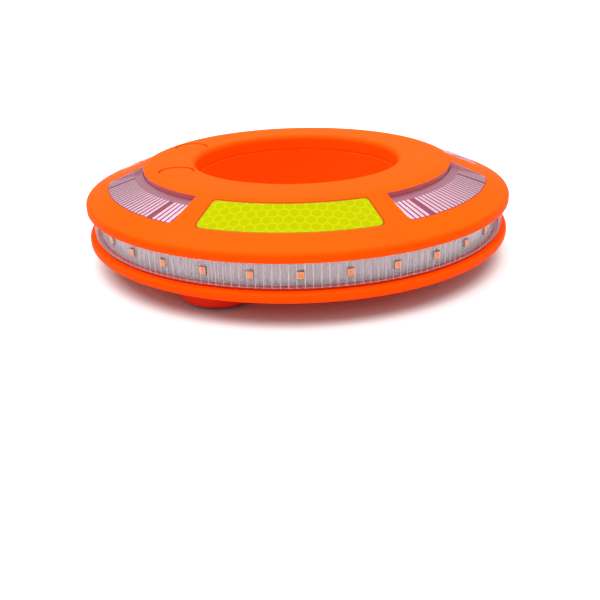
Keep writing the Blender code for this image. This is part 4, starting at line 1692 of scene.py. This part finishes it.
@dataclass
class Foot:
    """A broad low foot with a rounded toe, a recess for its pad and a hole for its screw."""

    plan: Plan
    palette: Palette
    foot_r: float = 23.2 * MM
    toe_w: float = 8.8 * MM
    toe_h: float = 3.5 * MM
    proud: float = 0.8 * MM
    pad_r: float = 11.4 * MM
    pad_t: float = 2.0 * MM
    counterbore_h: float = 8.0 * MM
    pad_grooves: int = 3
    # A groove's section, across and deep, from its outer lip inward.
    groove: tuple[tuple[float, float], ...] = (
        (0.6 * MM, 0.0),
        (0.4 * MM, 0.5 * MM),
        (-0.4 * MM, 0.5 * MM),
        (-0.6 * MM, 0.0),
    )
    toe_steps: int = 8
    foot_columns: int = 120
    pad_columns: int = 72

    def build(self, sides: dict[str, Vector]) -> None:
        """Builds one foot and one pad, and the others as their copies.

        Args:
            sides: Each foot's name after "foot_" to its centre.
        """
        names = list(sides)
        foot, pad = self.foot(), self.pad()
        feet = [foot, *copies(foot, names[1:])]
        pads = [pad, *copies(pad, names[1:])]
        for name, one, other in zip(names, feet, pads):
            one.name = f"foot_{name}_block"
            other.name = f"foot_pad_{name}_disc"
            for piece in (one, other):
                placed(piece, sides[name])
            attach(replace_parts(one, "foot_" + name), "housing")
            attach(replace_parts(other, "foot_pad_" + name), "housing")
        LOG.info("feet: %d faces each", len(foot.data.polygons))

    def foot(self) -> bpy.types.Object:
        """Builds the foot on the bore's axis.

        Returns:
            The foot.
        """
        plan = self.plan
        high = plan.under_z - GAP
        low = self.proud
        turns = [math.pi / 2 * k / self.toe_steps for k in range(self.toe_steps + 1)]
        toe = [
            (self.foot_r - self.toe_w * (1 - math.cos(turn)), low + self.toe_h * (1 - math.sin(turn)))
            for turn in turns
        ]
        recess = self.pad_t + GAP
        outline = rounded(
            [
                (plan.shank_r + GAP, high),
                (self.foot_r, high, GAP),
                *toe,
                (self.pad_r + GAP, low, GAP),
                (self.pad_r + GAP, recess),
                (plan.head_r + GAP, recess, GAP),
                (plan.head_r + GAP, low + self.counterbore_h),
                (plan.shank_r + GAP, low + self.counterbore_h),
            ],
            step=30.0,
        )
        foot = turned("foot", outline, self.foot_columns)
        smooth(foot)
        self.palette.dress(foot, TPE_SHADED)
        return foot

    def pad(self) -> bpy.types.Object:
        """Builds the pad on the bore's axis, with ring grooves in its face.

        Returns:
            The pad.
        """
        outline = [(0.0, self.pad_t), (self.pad_r - GAP, self.pad_t), (self.pad_r, self.pad_t - GAP)]
        outline += [(self.pad_r, GAP), (self.pad_r - GAP, 0.0)]
        pitch = self.pad_r / (self.pad_grooves + 1)
        for k in range(self.pad_grooves, 0, -1):
            outline += [(pitch * k + across, deep) for across, deep in self.groove]
        outline.append((0.0, 0.0))
        pad = turned("pad", outline, self.pad_columns)
        smooth(pad, 30.0, weighted=False)
        self.palette.dress(pad, RUBBER)
        return pad


class Inside:
    """The carried CAD pieces, which keep their shapes and get their finishes."""

    finishes: dict[str, Finish] = {
        "silicone": SILICONE,
        "white_carrier": WHITE_ABS,
        "led_strip": WHITE_MASK,
        "gasket_foam": FOAM,
        "pad_rubber": RUBBER,
        "screw_steel": STEEL,
        "black_moulding": BLACK_PBT,
        "circuit_board": GREEN_MASK,
        "cell_wrap": BLUE_PVC,
        "loom_cover": BLACK_PVC,
        "orange_shell": ORANGE_ABS,
        "red_foot": TPE_SHADED,
        "clear_lens": WHITE_ABS,
        "solar_laminate": CELL_FACE,
        "reflective_sheet": WHITE_ABS,
    }

    def __init__(self, frame: dict, palette: Palette) -> None:
        """Keeps the frame and the palette."""
        self.frame = frame
        self.palette = palette

    def dress(self) -> None:
        """Gives every CAD node the finish of its material slot."""
        slots = {part["node"]: part["material_slot"] for part in self.frame["record"]["subparts"]}
        for name, node in self.frame["nodes"].items():
            self.palette.dress(node, self.finishes[slots[name]])
        LOG.info("dressed %d carried nodes", len(slots))


@dataclass
class Studio:
    """A pale floor, soft light and the camera."""

    plan: Plan
    palette: Palette
    floor_size: float = 30.0
    floor_drop: float = 0.2 * MM
    distance: float = 519.5 * MM
    elevation: float = 15.7014
    swing: float = 2.5
    roll: float = 1.5568
    lower_aim: float = 7.983
    right_aim: float = 0.196
    focal_mm: float = 46.83
    sensor_mm: float = 36.0
    light_angle: float = 80.0
    light_energy: float = 6.0
    light_along: tuple[float, float, float] = (0.08, -0.04, -1.0)
    sky_low: float = 0.22
    sky_high: float = 0.6
    sky_dim: float = 0.52

    def build(self) -> None:
        """Sets the stage."""
        self.floor()
        self.sky()
        self.lights()
        self.camera()
        bpy.context.scene.view_settings.view_transform = "Standard"

    def floor(self) -> None:
        """A wide plain floor."""
        deselect()
        bpy.ops.mesh.primitive_plane_add(size=self.floor_size, location=(0, 0, -self.floor_drop))
        floor = added("studio_floor")
        self.palette.dress(floor, PAPER)

    def sky(self) -> None:
        """Soft light from all round, brighter from above."""
        world = bpy.data.worlds.new("studio")
        bpy.context.scene.world = world
        world.use_nodes = True
        tree = world.node_tree
        tree.nodes.clear()
        place = add_node(tree, "ShaderNodeTexCoord").outputs["Generated"]
        parts = add_node(tree, "ShaderNodeSeparateXYZ", {0: place})
        level = add_node(
            tree,
            "ShaderNodeMapRange",
            {
                "Value": parts.outputs["Z"],
                "From Min": self.sky_low,
                "From Max": self.sky_high,
                "To Min": self.sky_dim,
                "To Max": 1.0,
            },
            interpolation_type="SMOOTHSTEP",
        )
        light = add_node(
            tree, "ShaderNodeBackground", {"Color": linear("#FFFFFF"), "Strength": level.outputs["Result"]}
        )
        add_node(tree, "ShaderNodeOutputWorld", {"Surface": light.outputs["Background"]})

    def lights(self) -> None:
        """One very wide soft light overhead, a little in front and to the left."""
        soft = bpy.data.lights.new("overhead_soft", "SUN")
        soft.angle = math.radians(self.light_angle)
        soft.energy = self.light_energy
        lamp = bpy.data.objects.new("overhead_soft", soft)
        lamp.rotation_euler = Vector(self.light_along).to_track_quat("-Z", "Y").to_euler()
        bpy.context.scene.collection.objects.link(lamp)

    def camera(self) -> None:
        """The camera, aimed below the ring and rolled a little."""
        rise = math.radians(self.elevation)
        look = Matrix.Rotation(math.radians(90.0) - rise, 4, "X")
        roll = Matrix.Rotation(-math.radians(self.roll), 4, "Z")
        pitch = Matrix.Rotation(-math.radians(self.lower_aim), 4, "X")
        yaw = Matrix.Rotation(-math.radians(self.right_aim), 4, "Y")
        back = Vector((0.0, -math.cos(rise), math.sin(rise))) * self.distance
        swing = Matrix.Rotation(math.radians(self.swing), 4, "Z")
        data = bpy.data.cameras.new("camera")
        data.sensor_width = self.sensor_mm
        data.lens = self.focal_mm
        camera = bpy.data.objects.new("camera", data)
        place = Matrix.Translation(Vector((0, 0, self.plan.lip_z))) @ swing @ Matrix.Translation(back)
        camera.matrix_world = place @ look @ roll @ pitch @ yaw
        bpy.context.scene.collection.objects.link(camera)
        bpy.context.scene.camera = camera


def main() -> None:
    """Loads the frame and builds the sub-assemblies in order."""
    logging.basicConfig(level=logging.INFO, format="%(name)s: %(message)s")
    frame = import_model()
    plan = Plan.from_frame()
    palette = Palette()
    Studio(plan, palette).build()
    Inside(frame, palette).dress()
    panels = {"front_left": -57.6, "front_right": 57.6, "rear_left": -122.4, "rear_right": 122.4}
    sheets = {"front": 0.0, "rear": 180.0}
    buttons = ("power", "mode")
    feet = {side: centre_of("foot_" + side) for side in ("front_left", "right", "rear_left")}
    presses = [centre_of(label + "_button") for label in buttons]
    TopCover(plan, palette).build(list(panels.values()), list(sheets.values()), presses)
    BottomCover(plan, palette).build(list(feet.values()))
    RimLens(plan, palette).build()
    LedStrip(plan, palette).build()
    for side, azimuth in panels.items():
        SolarPanel(plan, palette).build(side, azimuth)
    for side, azimuth in sheets.items():
        ReflectiveSheet(plan, palette).build(side, azimuth)
    for label in buttons:
        PushButton(plan, palette).build(label)
    Foot(plan, palette).build(feet)


if __name__ == "__main__":
    main()
